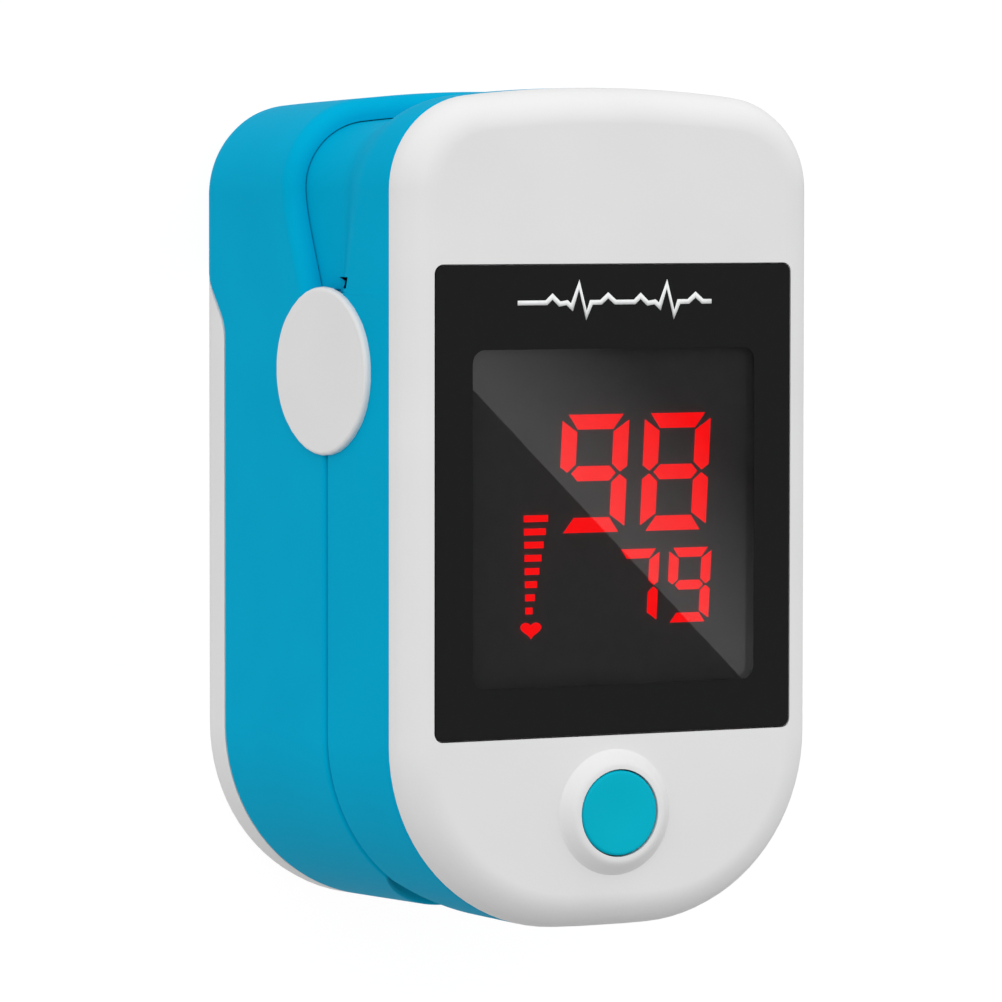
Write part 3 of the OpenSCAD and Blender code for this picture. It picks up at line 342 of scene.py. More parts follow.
def ribbon(name, path, width, z0, z1, axes=(0, 1, 2)):
    """Flat strip of constant width along a polyline: at each point the edge lies half a width
    away along the mean of the two neighbouring normals, and its section is a closed box. axes
    tells which of path, path and height become x, y and z."""
    path = np.array(path, float)
    run = np.diff(path, axis=0)
    run /= np.linalg.norm(run, axis=1, keepdims=True)
    side = np.stack([-run[:, 1], run[:, 0]], axis=1)
    mean = np.vstack([side[:1], side[:-1] + side[1:], side[-1:]])
    mean /= np.linalg.norm(mean, axis=1, keepdims=True)
    first = np.vstack([side[:1], side])
    mitre = mean / np.maximum((mean * first).sum(axis=1, keepdims=True), 0.5) * width / 2
    section = [(path - mitre, z0), (path + mitre, z0), (path + mitre, z1), (path - mitre, z1)]
    points = np.stack([np.column_stack([xy, np.full(len(xy), z)]) for xy, z in section], axis=1)
    mesh = grid_mesh(name, points[..., axes], wrap_v=True)
    made = placed(name, mesh)
    capped = bmesh.new()
    capped.from_mesh(mesh)
    bmesh.ops.holes_fill(capped, edges=[e for e in capped.edges if e.is_boundary], sides=4)
    bmesh.ops.recalc_face_normals(capped, faces=capped.faces)
    capped.to_mesh(mesh)
    capped.free()
    return made


beat = np.array([(0, 0), (1.6, 0), (2.1, 0.45), (2.7, -0.1), (3.3, 0), (3.7, -0.35), (4.3, 1.3), (4.9, -0.95),
    (5.3, 0), (6.1, 0), (6.7, 0.5), (7.3, 0)])
trace = np.vstack([(-TRACE_HALF, 0), beat - beat[-1], beat[1:], (TRACE_HALF, 0)]) + (0, TRACE_Y)
# Screen ink, light grey: a matt film with a slightly uneven edge-to-edge density.
grey_ink, tree, skin, mm = finish("screen_ink_light_grey", Roughness=0.5, IOR=1.5)
tree.links.new(blend(tree, noise(tree, mm, 0.25), "#E2E4E5", "#F0F1F1"), skin.inputs["Base Color"])
clad(ribbon("pulse_trace_print", trace, TRACE_W, INK_Z0, INK_Z1), "upper_half", grey_ink)


# ---- Display module -------------------------------------------------------------------------
# Light-emitting display: a block of dark epoxy soldered to the main board. Its lit bars are red
# epoxy cast over the light sources, and show through the window.
BARS_Z0, BARS_Z1 = 33.4, 33.5
LEAN = math.radians(3)


# Dark epoxy: nearly black and matt, with a faint cloudy filler.
epoxy_dark, tree, skin, mm = finish("epoxy_dark_potting", Roughness=0.55, IOR=1.5, Specular_IOR_Level=0.1)
tree.links.new(blend(tree, noise(tree, mm, 1.2, 4.0), "#646465", "#6C6C6D"), skin.inputs["Base Color"])
bumped(tree, skin, noise(tree, mm, 0.3), 0.01)
# Lit epoxy: an even red glow, a touch deeper in cloudy patches.
epoxy_lit, tree, skin, mm = finish("epoxy_red_lit", Roughness=0.6, IOR=1.5, Specular_IOR_Level=0.05,
    Emission_Strength=1.15)
glow = blend(tree, noise(tree, mm, 0.8), "#FF0206", "#F20004")
tree.links.new(glow, skin.inputs["Emission Color"])
skin.inputs["Base Color"].default_value = linear("#5A0608")
dress(["led_display"], epoxy_dark)


def plates(name, shapes, z0, z1):
    """Flat plates: each polygon, an array of points [k, 2] in counter-clockwise order, becomes a
    prism between two heights, with its two faces and a ring of sides."""
    counts = [len(shape) for shape in shapes]
    points = np.vstack([np.column_stack([np.vstack([shape, shape]), np.repeat([z0, z1], n)])
        for shape, n in zip(shapes, counts)])
    faces = []
    for start, n in zip(np.cumsum([0] + [2 * n for n in counts]), counts):
        i = start + np.arange(n)
        j = start + (np.arange(n) + 1) % n
        faces += [i[::-1].tolist(), (i + n).tolist(), *np.column_stack([i, j, j + n, i + n]).tolist()]
    mesh = bpy.data.meshes.new(name)
    mesh.from_pydata((points * MM).tolist(), [], faces)
    mesh.update()
    return placed(name, mesh)


def figure(lit, x, y, size=1.0):
    """Bars of one seven-bar figure from its lower left corner, as corner points: the outer bars have
    slanted ends, the bars that meet at the middle are pointed, and the right side mirrors the
    left. w, h, s and m are the width, height, stroke and middle at size 1."""
    w, h, s, m = 5.5, 8.55, 1.08, 4.275
    bars = {
        "a": [(0.5, h), (1.3, h - s), (w - 1.3, h - s), (w - 0.5, h)],
        "d": [(0.5, 0), (w - 0.5, 0), (w - 1.3, s), (1.3, s)],
        "g": [(0.93, m), (1.45, m - s / 2), (w - 1.45, m - s / 2), (w - 0.93, m), (w - 1.45, m + s / 2),
            (1.45, m + s / 2)],
        "f": [(0, h - 0.45), (0, m + 0.5), (0.56, m + 0.11), (1.22, m + 0.68), (1.22, h - 1.27)],
        "e": [(0, m - 0.5), (0, 0.45), (1.22, 1.27), (1.22, m - 0.68), (0.56, m - 0.11)]}
    bars["b"] = [(w - bx, by) for bx, by in bars["f"][::-1]]
    bars["c"] = [(w - bx, by) for bx, by in bars["e"][::-1]]
    return [np.array(bars[k]) * size + (x, y) for k in lit]


# Two readings, the lower one at 0.637 of the size, and both lean to the right.
nine, eight, seven = "abcdfg", "abcdefg", "abc"
big_y, small_y, small = -1.67, -8.42, 0.637
lit = figure(nine, -4.26, big_y) + figure(eight, 2.59, big_y)
lit += figure(seven, 0.8, small_y, small) + figure(nine, 5.18, small_y, small)
lit = [shape @ np.array([[1, 0], [math.tan(LEAN), 1]]) for shape in lit]
# Pulse bars that shorten downwards.
steps = np.arange(8)
bar_h = 0.48
for left, width, top in zip(0.02 * steps - 7.1, 1.95 - 0.2 * steps, -0.32 - 0.95 * steps):
    right, low = left + width, top - bar_h
    lit.append(np.array([(left, low), (right, low), (right, top), (left, top)]))
# Heart curve: x is the cube of the sine, y a sum of four cosines.
turn = np.linspace(0, 2 * np.pi, 40, endpoint=False)[::-1]
heart_y = 13 * np.cos(turn) - 5 * np.cos(2 * turn) - 2 * np.cos(3 * turn) - np.cos(4 * turn)
heart_mid, heart_scale = (-6.53, -8.55), (0.0525, 0.0403)
lit.append(np.column_stack([16 * np.sin(turn) ** 3, heart_y]) * heart_scale + heart_mid)
segments = plates("display_bars_lit", lit, BARS_Z0, BARS_Z1)
clad(segments, "upper_half", epoxy_lit)
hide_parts("display_segments")


# ---- Power button ---------------------------------------------------------------------------
# Round button of teal ABS, one moulding: its top is a broad shallow dish, level with the collar
# of its hole, and a flange under the cover keeps it in.
BUTTON_Y, BUTTON_R, BUTTON_TOP = -22.0, 3.1, 35.4
FLANGE_R, FLANGE_Z0, FLANGE_Z1 = 4.1, 32.0, 32.9
EDGE_R, DISH_R, DISH_DEPTH = 0.2, 2.75, 0.09


def revolved(name, profile, centre, steps=96):
    """Surface of revolution about a line along Z: a profile of radius and height is carried
    round the centre, and each pole is one point."""
    profile = np.array(profile, float)
    a = np.linspace(0, 2 * np.pi, steps, endpoint=False)
    x = centre[0] + profile[None, :, 0] * np.cos(a)[:, None]
    y = centre[1] + profile[None, :, 0] * np.sin(a)[:, None]
    z = np.broadcast_to(profile[None, :, 1], x.shape)
    made = placed(name, grid_mesh(name, np.stack([x, y, z], axis=-1), wrap_u=True))
    sealed(made.data)
    return made


def sealed(mesh):
    """Merges doubles, which closes poles and drops empty cells, and turns all faces outwards."""
    whole = bmesh.new()
    whole.from_mesh(mesh)
    bmesh.ops.remove_doubles(whole, verts=whole.verts, dist=1e-7)
    bmesh.ops.dissolve_degenerate(whole, edges=whole.edges, dist=1e-8)
    bmesh.ops.recalc_face_normals(whole, faces=whole.faces)
    whole.to_mesh(mesh)
    whole.free()


a = np.linspace(0, math.pi / 2, 7)
edge = np.column_stack([BUTTON_R - EDGE_R + EDGE_R * np.cos(a), BUTTON_TOP - EDGE_R + EDGE_R * np.sin(a)])
r = np.linspace(DISH_R, 0, 12)
dish = np.column_stack([r, BUTTON_TOP - DISH_DEPTH * (1 - (r / DISH_R) ** 2) ** 2])
flange = [(0, FLANGE_Z0), (FLANGE_R, FLANGE_Z0), (FLANGE_R, FLANGE_Z1), (BUTTON_R, FLANGE_Z1)]
button = revolved("power_button_cap", [*flange, *edge, *dish], (0, BUTTON_Y))
shaded(button, 32)
# Teal ABS, spark-eroded: a slightly glossier satin than the cover.
teal_abs = moulded("teal_abs_moulded", "#00AEC6", "#00AAC1", 0.38, 0.04)
clad(button, "button", teal_abs)
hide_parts("power_button")


# ---- Outline of the shells ------------------------------------------------------------------
# Both blue halves are ABS mouldings with the same outline: shallow crowns at the ends, wide
# corners at the finger opening and tighter ones at the squeeze end. Each arc touches the next.
HALF_W, HALF_L = 17.05, 30.5
FINGER_CORNER, FINGER_CROWN = 13.7, 117.0
SQUEEZE_CORNER, SQUEEZE_CROWN = 6.8, 97.0
WALL = 1.5


def corner_of(corner, crown, end):
    """Centre of a corner circle that touches the side and, from inside, the end's crown."""
    x = HALF_W - corner
    crown_y = end * (HALF_L - crown)
    return x, crown_y + end * math.sqrt((crown - corner) ** 2 - x ** 2), crown_y


FX, FY, FCY = corner_of(FINGER_CORNER, FINGER_CROWN, -1)
SX, SY, SCY = corner_of(SQUEEZE_CORNER, SQUEEZE_CROWN, 1)
F_TURN, S_TURN = math.atan2(FY - FCY, FX), math.atan2(SY - SCY, SX)


def arc(centre, r, angles):
    """Points on a circle, with their outward normals: columns x, y, nx, ny."""
    n = np.column_stack([np.cos(angles), np.sin(angles)])
    return np.column_stack([np.array(centre) + r * n, n])


def outline(side_y, mouth_x):
    """The whole outline, counter-clockwise from the middle of the finger end: the right half is
    crown, corner, side, corner, crown, and the left half mirrors it. side_y and mouth_x place
    extra columns on the side and at the mouth's corners."""
    mouth_turn = -math.acos((mouth_x - FX) / FINGER_CORNER)
    corner = np.union1d(np.linspace(F_TURN, 0, 61), [mouth_turn - 1e-3, mouth_turn])
    one = np.ones(len(side_y))
    side = np.column_stack([HALF_W * one, side_y, one, 0 * one])
    right_half = np.vstack([
        arc((0, FCY), FINGER_CROWN, np.linspace(-math.pi / 2, F_TURN, 9)[:-1]),
        arc((FX, FY), FINGER_CORNER, corner[:-1]),
        side,
        arc((SX, SY), SQUEEZE_CORNER, np.linspace(0, S_TURN, 29)[1:]),
        arc((0, SCY), SQUEEZE_CROWN, np.linspace(S_TURN, math.pi / 2, 17)[1:])])
    return np.vstack([right_half, right_half[-2:0:-1] * (-1, 1, -1, 1)])


def inset_of(x, y):
    """Distance of points inside the outline: the radius less the distance from the circle that
    rules there, or the distance from the side."""
    x = np.abs(x)
    depth = np.minimum(HALF_W - x, FINGER_CROWN - np.hypot(x, y - FCY))
    depth = np.minimum(depth, SQUEEZE_CROWN - np.hypot(x, y - SCY))
    for cx, cy, r, lo, hi in ((FX, FY, FINGER_CORNER, F_TURN, 0), (SX, SY, SQUEEZE_CORNER, 0, S_TURN)):
        a = np.arctan2(y - cy, x - cx)
        depth = np.where((a > lo) & (a < hi), r - np.hypot(x - cx, y - cy), depth)
    return depth


def skin_of(name, columns, insets, heights):
    """Closed wall: every row of the outline is drawn in by its inset and set at its height; the
    rows run round the section, and the columns round the body. insets and heights are arrays
    [column, row], and a height may be a function of the plan position."""
    xy = columns[:, None, :2] - insets[..., None] * columns[:, None, 2:]
    z = heights(xy[..., 0], xy[..., 1])
    made = placed(name, grid_mesh(name, np.dstack([xy, z]), wrap_u=True, wrap_v=True))
    sealed(made.data)
    return made


# ---- Lower shell ----------------------------------------------------------------------------
# The blue half that lies on the battery door: one ABS moulding with an open mouth, two hinge
# ears, and a softly rounded rim that falls from the ears to the squeeze end.
HINGE_Y, HINGE_Z = 9.9, 21.8
EAR_R = 5.6
EAR_END_Y = HINGE_Y + EAR_R
SEAM_Z, SEAM_GAP, SEAM_ROUND = 21.8, 0.3, 0.35
# Mouth: half its width, where it ends, and the arc's lowest point and depth.
MOUTH_X, MOUTH_END_Y, MOUTH_Z, MOUTH_DROP = 11.8, -20, 15.0, 6.65
# Rim: height at the squeeze end, climb and rounding; where the climb ends, and how softly.
RIM_Z, RIM_SLOPE, RIM_ROUND = 15.85, math.radians(23.8), 1.3
RAMP_END_Y, RAMP_SOFT = 22.2, 0.8
# The lip along the neck is thinner, and the wall and the neck ease inwards at the squeeze end.
LIP_Y, LIP_T, END_WALL, END_NECK = 13, 1.37, 0.5, 0.35
BELT_Z = 17.5
BACK_ROUND = 2.5
# Door: height of its level edge, foot of the slant, and the arc between them.
DOOR_Z, DOOR_FOOT_Y, DOOR_BEND, DOOR_GAP = 4.6, 18.6, 3.0, 0.2
DOOR_SLANT = math.radians(40)
CREST_Y = DOOR_FOOT_Y - DOOR_Z / math.tan(DOOR_SLANT) - DOOR_BEND * math.tan(DOOR_SLANT / 2)
DRAFT_Z, DRAFT_SIDE, DRAFT_END = 18, 0.3, 0.53
# Where the upper frame's neck, its skirt and the pocket above the ear begin and end.
NECK_Y, SKIRT_Y, POCKET_Y0, POCKET_Y1 = 15.63, 15.88, 15.96, 16.76

# Columns along the side: dense round the hinge, with a pair at each break in a height.
breaks = [(EAR_END_Y, 0.01), (NECK_Y, 0.03), (SKIRT_Y, 0.02), (POCKET_Y0, 0.02), (POCKET_Y1, 0.02)]
breaks = [round(y + side * off, 2) for y, off in breaks for side in (-1, 1)]
side_y = np.unique(np.concatenate([np.linspace(FY, 3.8, 24), np.linspace(3.8, 16.2, 125),
    np.linspace(16.2, SY, 29), breaks]))
ring = outline(side_y, MOUTH_X)
column_y = ring[:, 1]
end_share = np.where(column_y > SY, ring[:, 3] ** 2, 0.0)


def chord(half, rise):
    """Radius of the arc that spans twice half and rises by rise."""
    return (half ** 2 + rise ** 2) / (2 * rise)


def lower_top(x, y):
    """Top of the lower shell: the seam, the mouth's arc below it, the ears' circles, and a rim
    that climbs to the ears along a softened ramp."""
    r = chord(MOUTH_X, MOUTH_DROP)
    z = np.full_like(x, SEAM_Z - SEAM_GAP / 2)
    mouth = MOUTH_Z + r - np.sqrt(np.maximum(r ** 2 - x ** 2, 0))
    z = np.where((y < MOUTH_END_Y) & (np.abs(x) < MOUTH_X), mouth, z)
    ear = HINGE_Z + np.sqrt(np.maximum(EAR_R ** 2 - (y - HINGE_Y) ** 2, 0))
    z = np.where(np.abs(y - HINGE_Y) < EAR_R, ear, z)
    ramp = RIM_Z + math.tan(RIM_SLOPE) * RAMP_SOFT * np.log1p(np.exp((RAMP_END_Y - y) / RAMP_SOFT))
    return np.where(y > EAR_END_Y, ramp, z)


def door_line(y):
    """Lower edge of the shell along the door: level, bent down by a small arc, then a slant."""
    y = y - DOOR_GAP
    bend = DOOR_Z - DOOR_BEND + np.sqrt(np.maximum(DOOR_BEND ** 2 - (y - CREST_Y) ** 2, 0))
    slant = (DOOR_FOOT_Y - y) * math.tan(DOOR_SLANT)
    past_crest = np.where(y < CREST_Y + DOOR_BEND * math.sin(DOOR_SLANT), bend, slant)
    return np.maximum(np.where(y < CREST_Y, DOOR_Z, past_crest) + DOOR_GAP, 0)


def quarter(steps):
    """Angles of a rounding, from its start on the wall to its end on the flat."""
    return np.linspace(0, math.pi / 2, steps)


def lower_skin():
    """Section of the lower shell's wall, for every column at once: its foot, the rounding of the
    back, a row at the belt under the rim, the rounded rim, the lip and the inside. The wall is
    thicker at the squeeze end."""
    n = len(ring)
    foot = door_line(column_y)
    start = np.arccos(1 - np.minimum(foot, BACK_ROUND) / BACK_ROUND)
    back = start[:, None] + (math.pi / 2 - start[:, None]) * np.linspace(0, 1, 9)
    back_in = BACK_ROUND * (1 - np.sin(back))
    back_z = np.maximum(BACK_ROUND * (1 - np.cos(back)), foot[:, None])
    r = np.where(column_y > EAR_END_Y, RIM_ROUND, SEAM_ROUND)[:, None]
    lip = np.where(column_y > LIP_Y, LIP_T + END_NECK * end_share, WALL)[:, None]
    inner = (WALL + END_WALL * end_share)[:, None]
    a = quarter(10)[None, :]
    rim_in, rim_down = r * (1 - np.cos(a)), r * (1 - np.sin(a))
    hollow = np.maximum(foot, WALL)[:, None]
    belt = np.minimum(BELT_Z, lower_top(ring[:, 0], column_y)[:, None] - r - 0.01)
    insets = np.hstack([back_in, 0 * belt, rim_in, lip, lip, inner])
    base = np.hstack([back_z, belt, -rim_down, np.zeros((n, 1)), np.full((n, 1), -0.5), hollow])
    on_top = np.array([0] * 10 + [1] * 12 + [0])
    return skin_of("lower_shell_skin", ring, insets, lambda x, y: base + on_top * lower_top(x, y))


def kept(name, node, keep, cut_y=None):
    """Part of a CAD part: its joined triangles, cut across at cut_y, of which keep(corners,
    normal, insets) says which stay."""
    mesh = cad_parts[node].data.copy()
    whole = bmesh.new()
    whole.from_mesh(mesh)
    bmesh.ops.remove_doubles(whole, verts=whole.verts, dist=2e-6)
    if cut_y is not None:
        bmesh.ops.bisect_plane(whole, geom=whole.verts[:] + whole.edges[:] + whole.faces[:], dist=1e-7,
            plane_co=(0, cut_y * MM, 0), plane_no=(0, 1, 0))
    whole.verts.ensure_lookup_table()
    whole.faces.ensure_lookup_table()
    whole.verts.index_update()
    at = np.array([v.co for v in whole.verts]) / MM
    corners = [[v.index for v in f.verts] for f in whole.faces]
    depth = inset_of(at[:, 0], at[:, 1])
    gone = [f for f, c in zip(whole.faces, corners) if not keep(at[c], np.array(f.normal), depth[c])]
    bmesh.ops.delete(whole, geom=gone, context="FACES")
    whole.to_mesh(mesh)
    whole.free()
    made = placed(name, mesh)
    if mesh.attributes.get("custom_normal"):
        mesh.attributes.remove(mesh.attributes["custom_normal"])
    return made


def joined(name, pieces):
    """One object from several: their meshes are put together under the first one's name."""
    with bpy.context.temp_override(active_object=pieces[0], selected_editable_objects=pieces):
        bpy.ops.object.join()
    pieces[0].name = pieces[0].data.name = name
    return pieces[0]


# How near to a face a corner has to be to belong to it.
NEAR = 0.06


def lower_inside(at, normal, depth):
    """Floor, ledges, door rails and bosses: what doesn't reach the outside, and isn't the wall's
    inner face or the rounding of the back."""
    at_end = at[:, 1].mean() > 20
    on_wall = depth.max() < (WALL + 0.65 if at_end else WALL + NEAR)
    in_round = at[:, 2].max() < BACK_ROUND and depth.min() < BACK_ROUND - 0.05
    on_back = abs(normal[2]) < 0.999 and in_round and at[:, 1].min() > 18
    return depth.min() > WALL - NEAR and not on_wall and not on_back


def leaned(mesh):
    """Draft of the outer faces: below the draft line a point moves in proportion to its depth, the
    sides inwards and both ends towards the finger end. Inner faces stay."""
    at = np.empty(3 * len(mesh.vertices), np.float32)
    mesh.vertices.foreach_get("co", at)
    at = at.reshape(-1, 3) / MM
    outer = (inset_of(at[:, 0], at[:, 1]) < 1.1) | (at[:, 2] < 1)
    deep = np.clip((DRAFT_Z - at[:, 2]) / DRAFT_Z, 0, 1) * outer
    at[:, 1] -= DRAFT_END * deep
    at[:, 0] -= DRAFT_SIDE * deep * np.clip(at[:, 0] / HALF_W, -1, 1)
    mesh.vertices.foreach_set("co", (at * MM).ravel())


# The slanted front of the shell's floor, between the two side walls.
slope_x, slope_low, slope_top = 14.8, (19.04, 0), (17.25, WALL)
slope = np.array([[(-slope_x, *end), (slope_x, *end)] for end in (slope_low, slope_top)])
floor_front = placed("floor_front", grid_mesh("floor_front", slope))
inner_forms = kept("lower_inside", "lower_shell", lower_inside)
lower = joined("lower_shell_moulding", [lower_skin(), inner_forms, floor_front])
leaned(lower.data)
shaded(lower, 34)
# Blue ABS, spark-eroded mould: a deep even cyan with a low satin sheen.
blue_abs = moulded("blue_abs_spark_eroded", "#00A3CB", "#00A0C8", 0.5, 0.006)
clad(lower, "lower_half", blue_abs)
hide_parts("lower_shell")


# ---- Upper frame ----------------------------------------------------------------------------
# The blue half between the cover and the finger: one ABS moulding whose flush wall ends in a
# soft shoulder above the squeeze end. Its neck goes down into the lower shell and carries the
# hinge lugs.
SPLIT_Z, SPLIT_ROUND = 31.65, 0.25
ARCH_Z, ARCH_RISE = 25.9, 3.95
NOTCH_R = 5.9
# Flush band: where its lower edge starts, and how it climbs towards the squeeze end.
BAND_Y, BAND_Z, BAND_SLOPE = 15.9, 25.1, math.radians(18)
# Neck: inset, thickness and lower end; the pocket's depth, and its height as a share of the fall.
NECK_IN, NECK_T, SKIRT_Z = 1.45, 1.3, 15.0
POCKET_IN, POCKET_FALL = 2.6, 1.75
DECK_Z, DECK_TOP_Z = 27.9, 28.9
# Insets that bound the outer wall and the neck among the CAD part's faces, and the lugs' end.
OUTER_IN, INNER_IN, LUG_END_Y = 1.3, 3.8, 16.8


def upper_edge(x, y):
    """Lower edge of the flush wall: the seam, the mouth's arc above it, the notch round the ear as
    far as the neck, and a slope towards the squeeze end."""
    r = chord(MOUTH_X, ARCH_RISE)
    seam = SEAM_Z + SEAM_GAP / 2
    z = np.full_like(x, seam)
    mouth = ARCH_Z - r + np.sqrt(np.maximum(r ** 2 - x ** 2, 0))
    z = np.where((y < MOUTH_END_Y) & (np.abs(x) < MOUTH_X), mouth, z)
    notch = HINGE_Z + np.sqrt(np.maximum(NOTCH_R ** 2 - (y - HINGE_Y) ** 2, 0))
    z = np.where(np.abs(y - HINGE_Y) < NOTCH_R, np.maximum(notch, seam), z)
    return np.where(y >= NECK_Y, BAND_Z + np.maximum(y - BAND_Y, 0) * math.tan(BAND_SLOPE), z)


def upper_skin():
    """Section of the upper frame's wall, for every column at once: the outside from the cover down
    to its lower edge, then the plain wall's bottom, or an S-shaped shoulder and the neck, and back
    up the inside. The shoulder's inset follows 3t^2 - 2t^3 while its height falls with t. Where
    the neck begins, a small pocket runs in under the edge and narrows towards the squeeze end."""
    one = np.ones((len(ring), 1))
    neck = one * (column_y > NECK_Y)[:, None]
    wall = 1 - neck
    pit = ((column_y > POCKET_Y0) & (column_y < POCKET_Y1))[:, None]
    neck_in = (NECK_IN + END_NECK * end_share)[:, None]
    a = quarter(5)[None, ::-1]
    top_in = SPLIT_ROUND * (1 - np.cos(a)) * one
    top_z = SPLIT_Z - SPLIT_ROUND * (1 - np.sin(a)) * one
    a = quarter(7)[None, :]
    edge_in = SEAM_ROUND * (1 - np.cos(a)) * wall
    edge_up = SEAM_ROUND * (1 - np.sin(a)) * one
    narrowing = (column_y[:, None] - POCKET_Y0 - 0.02) / (POCKET_Y1 - POCKET_Y0 - 0.04)
    mouth = np.where(pit, 0.2 + 0.95 * narrowing, 0.06)
    tail = np.maximum(1 - mouth, 0.05) * np.linspace(0.06, 1, 12)
    t = np.hstack([0.004 * one, np.where(pit, POCKET_FALL, 0.02), mouth, mouth + tail])
    s = np.clip(t, 0, 1) ** 2 * (3 - 2 * np.clip(t, 0, 1))
    shoulder_in = neck * neck_in * s + wall * (SEAM_ROUND + (WALL - SEAM_ROUND) * t * 0.6)
    shoulder_in[:, :2] = np.where(pit, POCKET_IN, shoulder_in[:, :2])
    fall = upper_edge(ring[:, 0], column_y)[:, None] - HINGE_Z
    neck_back = neck * (neck_in + NECK_T) + wall * WALL
    insets = np.hstack([top_in, edge_in, shoulder_in, neck * neck_in + wall * 1.1, neck_back, neck_back,
        WALL * one, WALL * one])
    foot = np.where(column_y > SKIRT_Y, SKIRT_Z, HINGE_Z - 0.3)[:, None] * neck
    base = np.hstack([top_z, edge_up, -fall * t * neck, foot, foot, neck * DECK_Z + wall * (DECK_Z + 0.3),
        DECK_TOP_Z * one, SPLIT_Z * one])
    on_edge = np.hstack([0 * top_z, one + 0 * edge_up, one + 0 * t, wall, wall, 0 * one, 0 * one, 0 * one])
    return skin_of("upper_frame_skin", ring, insets, lambda x, y: base + on_edge * upper_edge(x, y))


def upper_inside(at, normal, depth):
    """Floor plate, pad rails, bosses and hinge lugs: what isn't the outer wall, its inner face,
    or the neck beyond the lugs."""
    plate = any(np.all(np.abs(at[:, 2] - z) < 0.02) for z in (DECK_Z, DECK_TOP_Z))
    outer = depth.min() < OUTER_IN and not plate
    neck = at[:, 1].mean() > LUG_END_Y and depth.max() < INNER_IN and not plate
    return not outer and depth.max() > WALL + NEAR and not neck


inner_forms = kept("upper_inside", "upper_frame", upper_inside, LUG_END_Y)
upper = joined("upper_frame_moulding", [upper_skin(), inner_forms])
shaded(upper, 34)
clad(upper, "upper_half", blue_abs)
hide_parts("upper_frame")


# ---- Battery door ---------------------------------------------------------------------------
# The white back cover: one ABS moulding with a rib along each side and two tongues. It slides in
# the shell's rails, off towards the finger opening, and has the same draft as the shell.
door = moulding("battery_door_moulding", "battery_door", "door", white_abs)
leaned(door.data)


# ---- Hinge caps -----------------------------------------------------------------------------
# Two oval covers of white ABS with a rounded edge, pressed over the ends of the hinge pins and
# glued to the lower shell's ears.
for side in ("left", "right"):
    moulding(f"hinge_cap_{side}_moulding", f"hinge_cap_{side}", "lower_half", white_abs)


# ---- Finger pads ----------------------------------------------------------------------------
# The soft bed and arch that hold the fingertip: grey silicone rubber, moulded in one piece each
# and pressed in between the rails.
# Silicone rubber: matt and slightly cloudy, with a fine dusty grain.
silicone, tree, skin, mm = finish("silicone_rubber_grey", Roughness=0.62, IOR=1.41, Specular_IOR_Level=0.3)
tree.links.new(blend(tree, noise(tree, mm, 4.0), "#66686D", "#707277"), skin.inputs["Base Color"])
bumped(tree, skin, noise(tree, mm, 0.2), 0.01)
moulding("upper_pad_rubber", "upper_finger_pad", "upper_half", silicone)
moulding("lower_pad_rubber", "lower_finger_pad", "lower_half", silicone)


# ---- Boards ---------------------------------------------------------------------------------
# Main board, screwed to the upper frame's floor, and the small detector board on the tray: glass-
# fibre laminate, 1 and 0.5 mm thick, with copper tracks under green solder mask.
def within(tree, value, low, high):
    """1 while the value lies between low and high."""
    middle, half = (low + high) / 2, (high - low) / 2
    return add(tree, "ShaderNodeMath", {0: value, 1: middle, 2: half}, operation="COMPARE").outputs[0]


# Solder mask: glossy deep green, lighter where a raised copper track runs under it.
solder_mask, tree, skin, mm = finish("solder_mask_green", Roughness=0.32, IOR=1.5)
track = add(tree, "ShaderNodeTexBrick", {"Vector": mm, "Scale": 1.0, "Mortar Size": 0.14,
    "Mortar Smooth": 0.0, "Brick Width": 2.6, "Row Height": 1.1, "Bias": 0.0}, offset=0.37).outputs["Fac"]
cloth = noise(tree, mm, 0.5)
mask = blend(tree, cloth, "#145030", "#185837")
tree.links.new(blend(tree, track, mask, "#2E7A4C"), skin.inputs["Base Color"])
bumped(tree, skin, track, 0.03)
dress(["main_board", "detector_board"], solder_mask)


# ---- Parts on the board ---------------------------------------------------------------------
# Microcontroller in a flat package, a crystal, a regulator and chip resistors, soldered to the
# main board's upper face, and the nylon plunger that stands in the push switch.
CHIP_Y0, CHIP_Y1 = 15.6, 20.6
RESISTOR_Y0, RESISTOR_Y1 = -18.75, -17.85


# Moulding compound: charcoal epoxy with a fine sandy grain. The leads beyond it are tinned copper.
package, tree, skin, mm = finish("epoxy_package_tinned_leads")
body = within(tree, along_axis(tree, mm, "Y"), CHIP_Y0, CHIP_Y1)
tree.links.new(blend(tree, body, "#C9CBCC", blend(tree, noise(tree, mm, 0.15), "#1E1E20", "#2A2A2C")),
    skin.inputs["Base Color"])
tree.links.new(between(tree, body, 1.0, 0.0), skin.inputs["Metallic"])
tree.links.new(between(tree, body, 0.28, 0.6), skin.inputs["Roughness"])
bumped(tree, skin, noise(tree, mm, 0.12), 0.008)
dress(["processor_chip"], package)

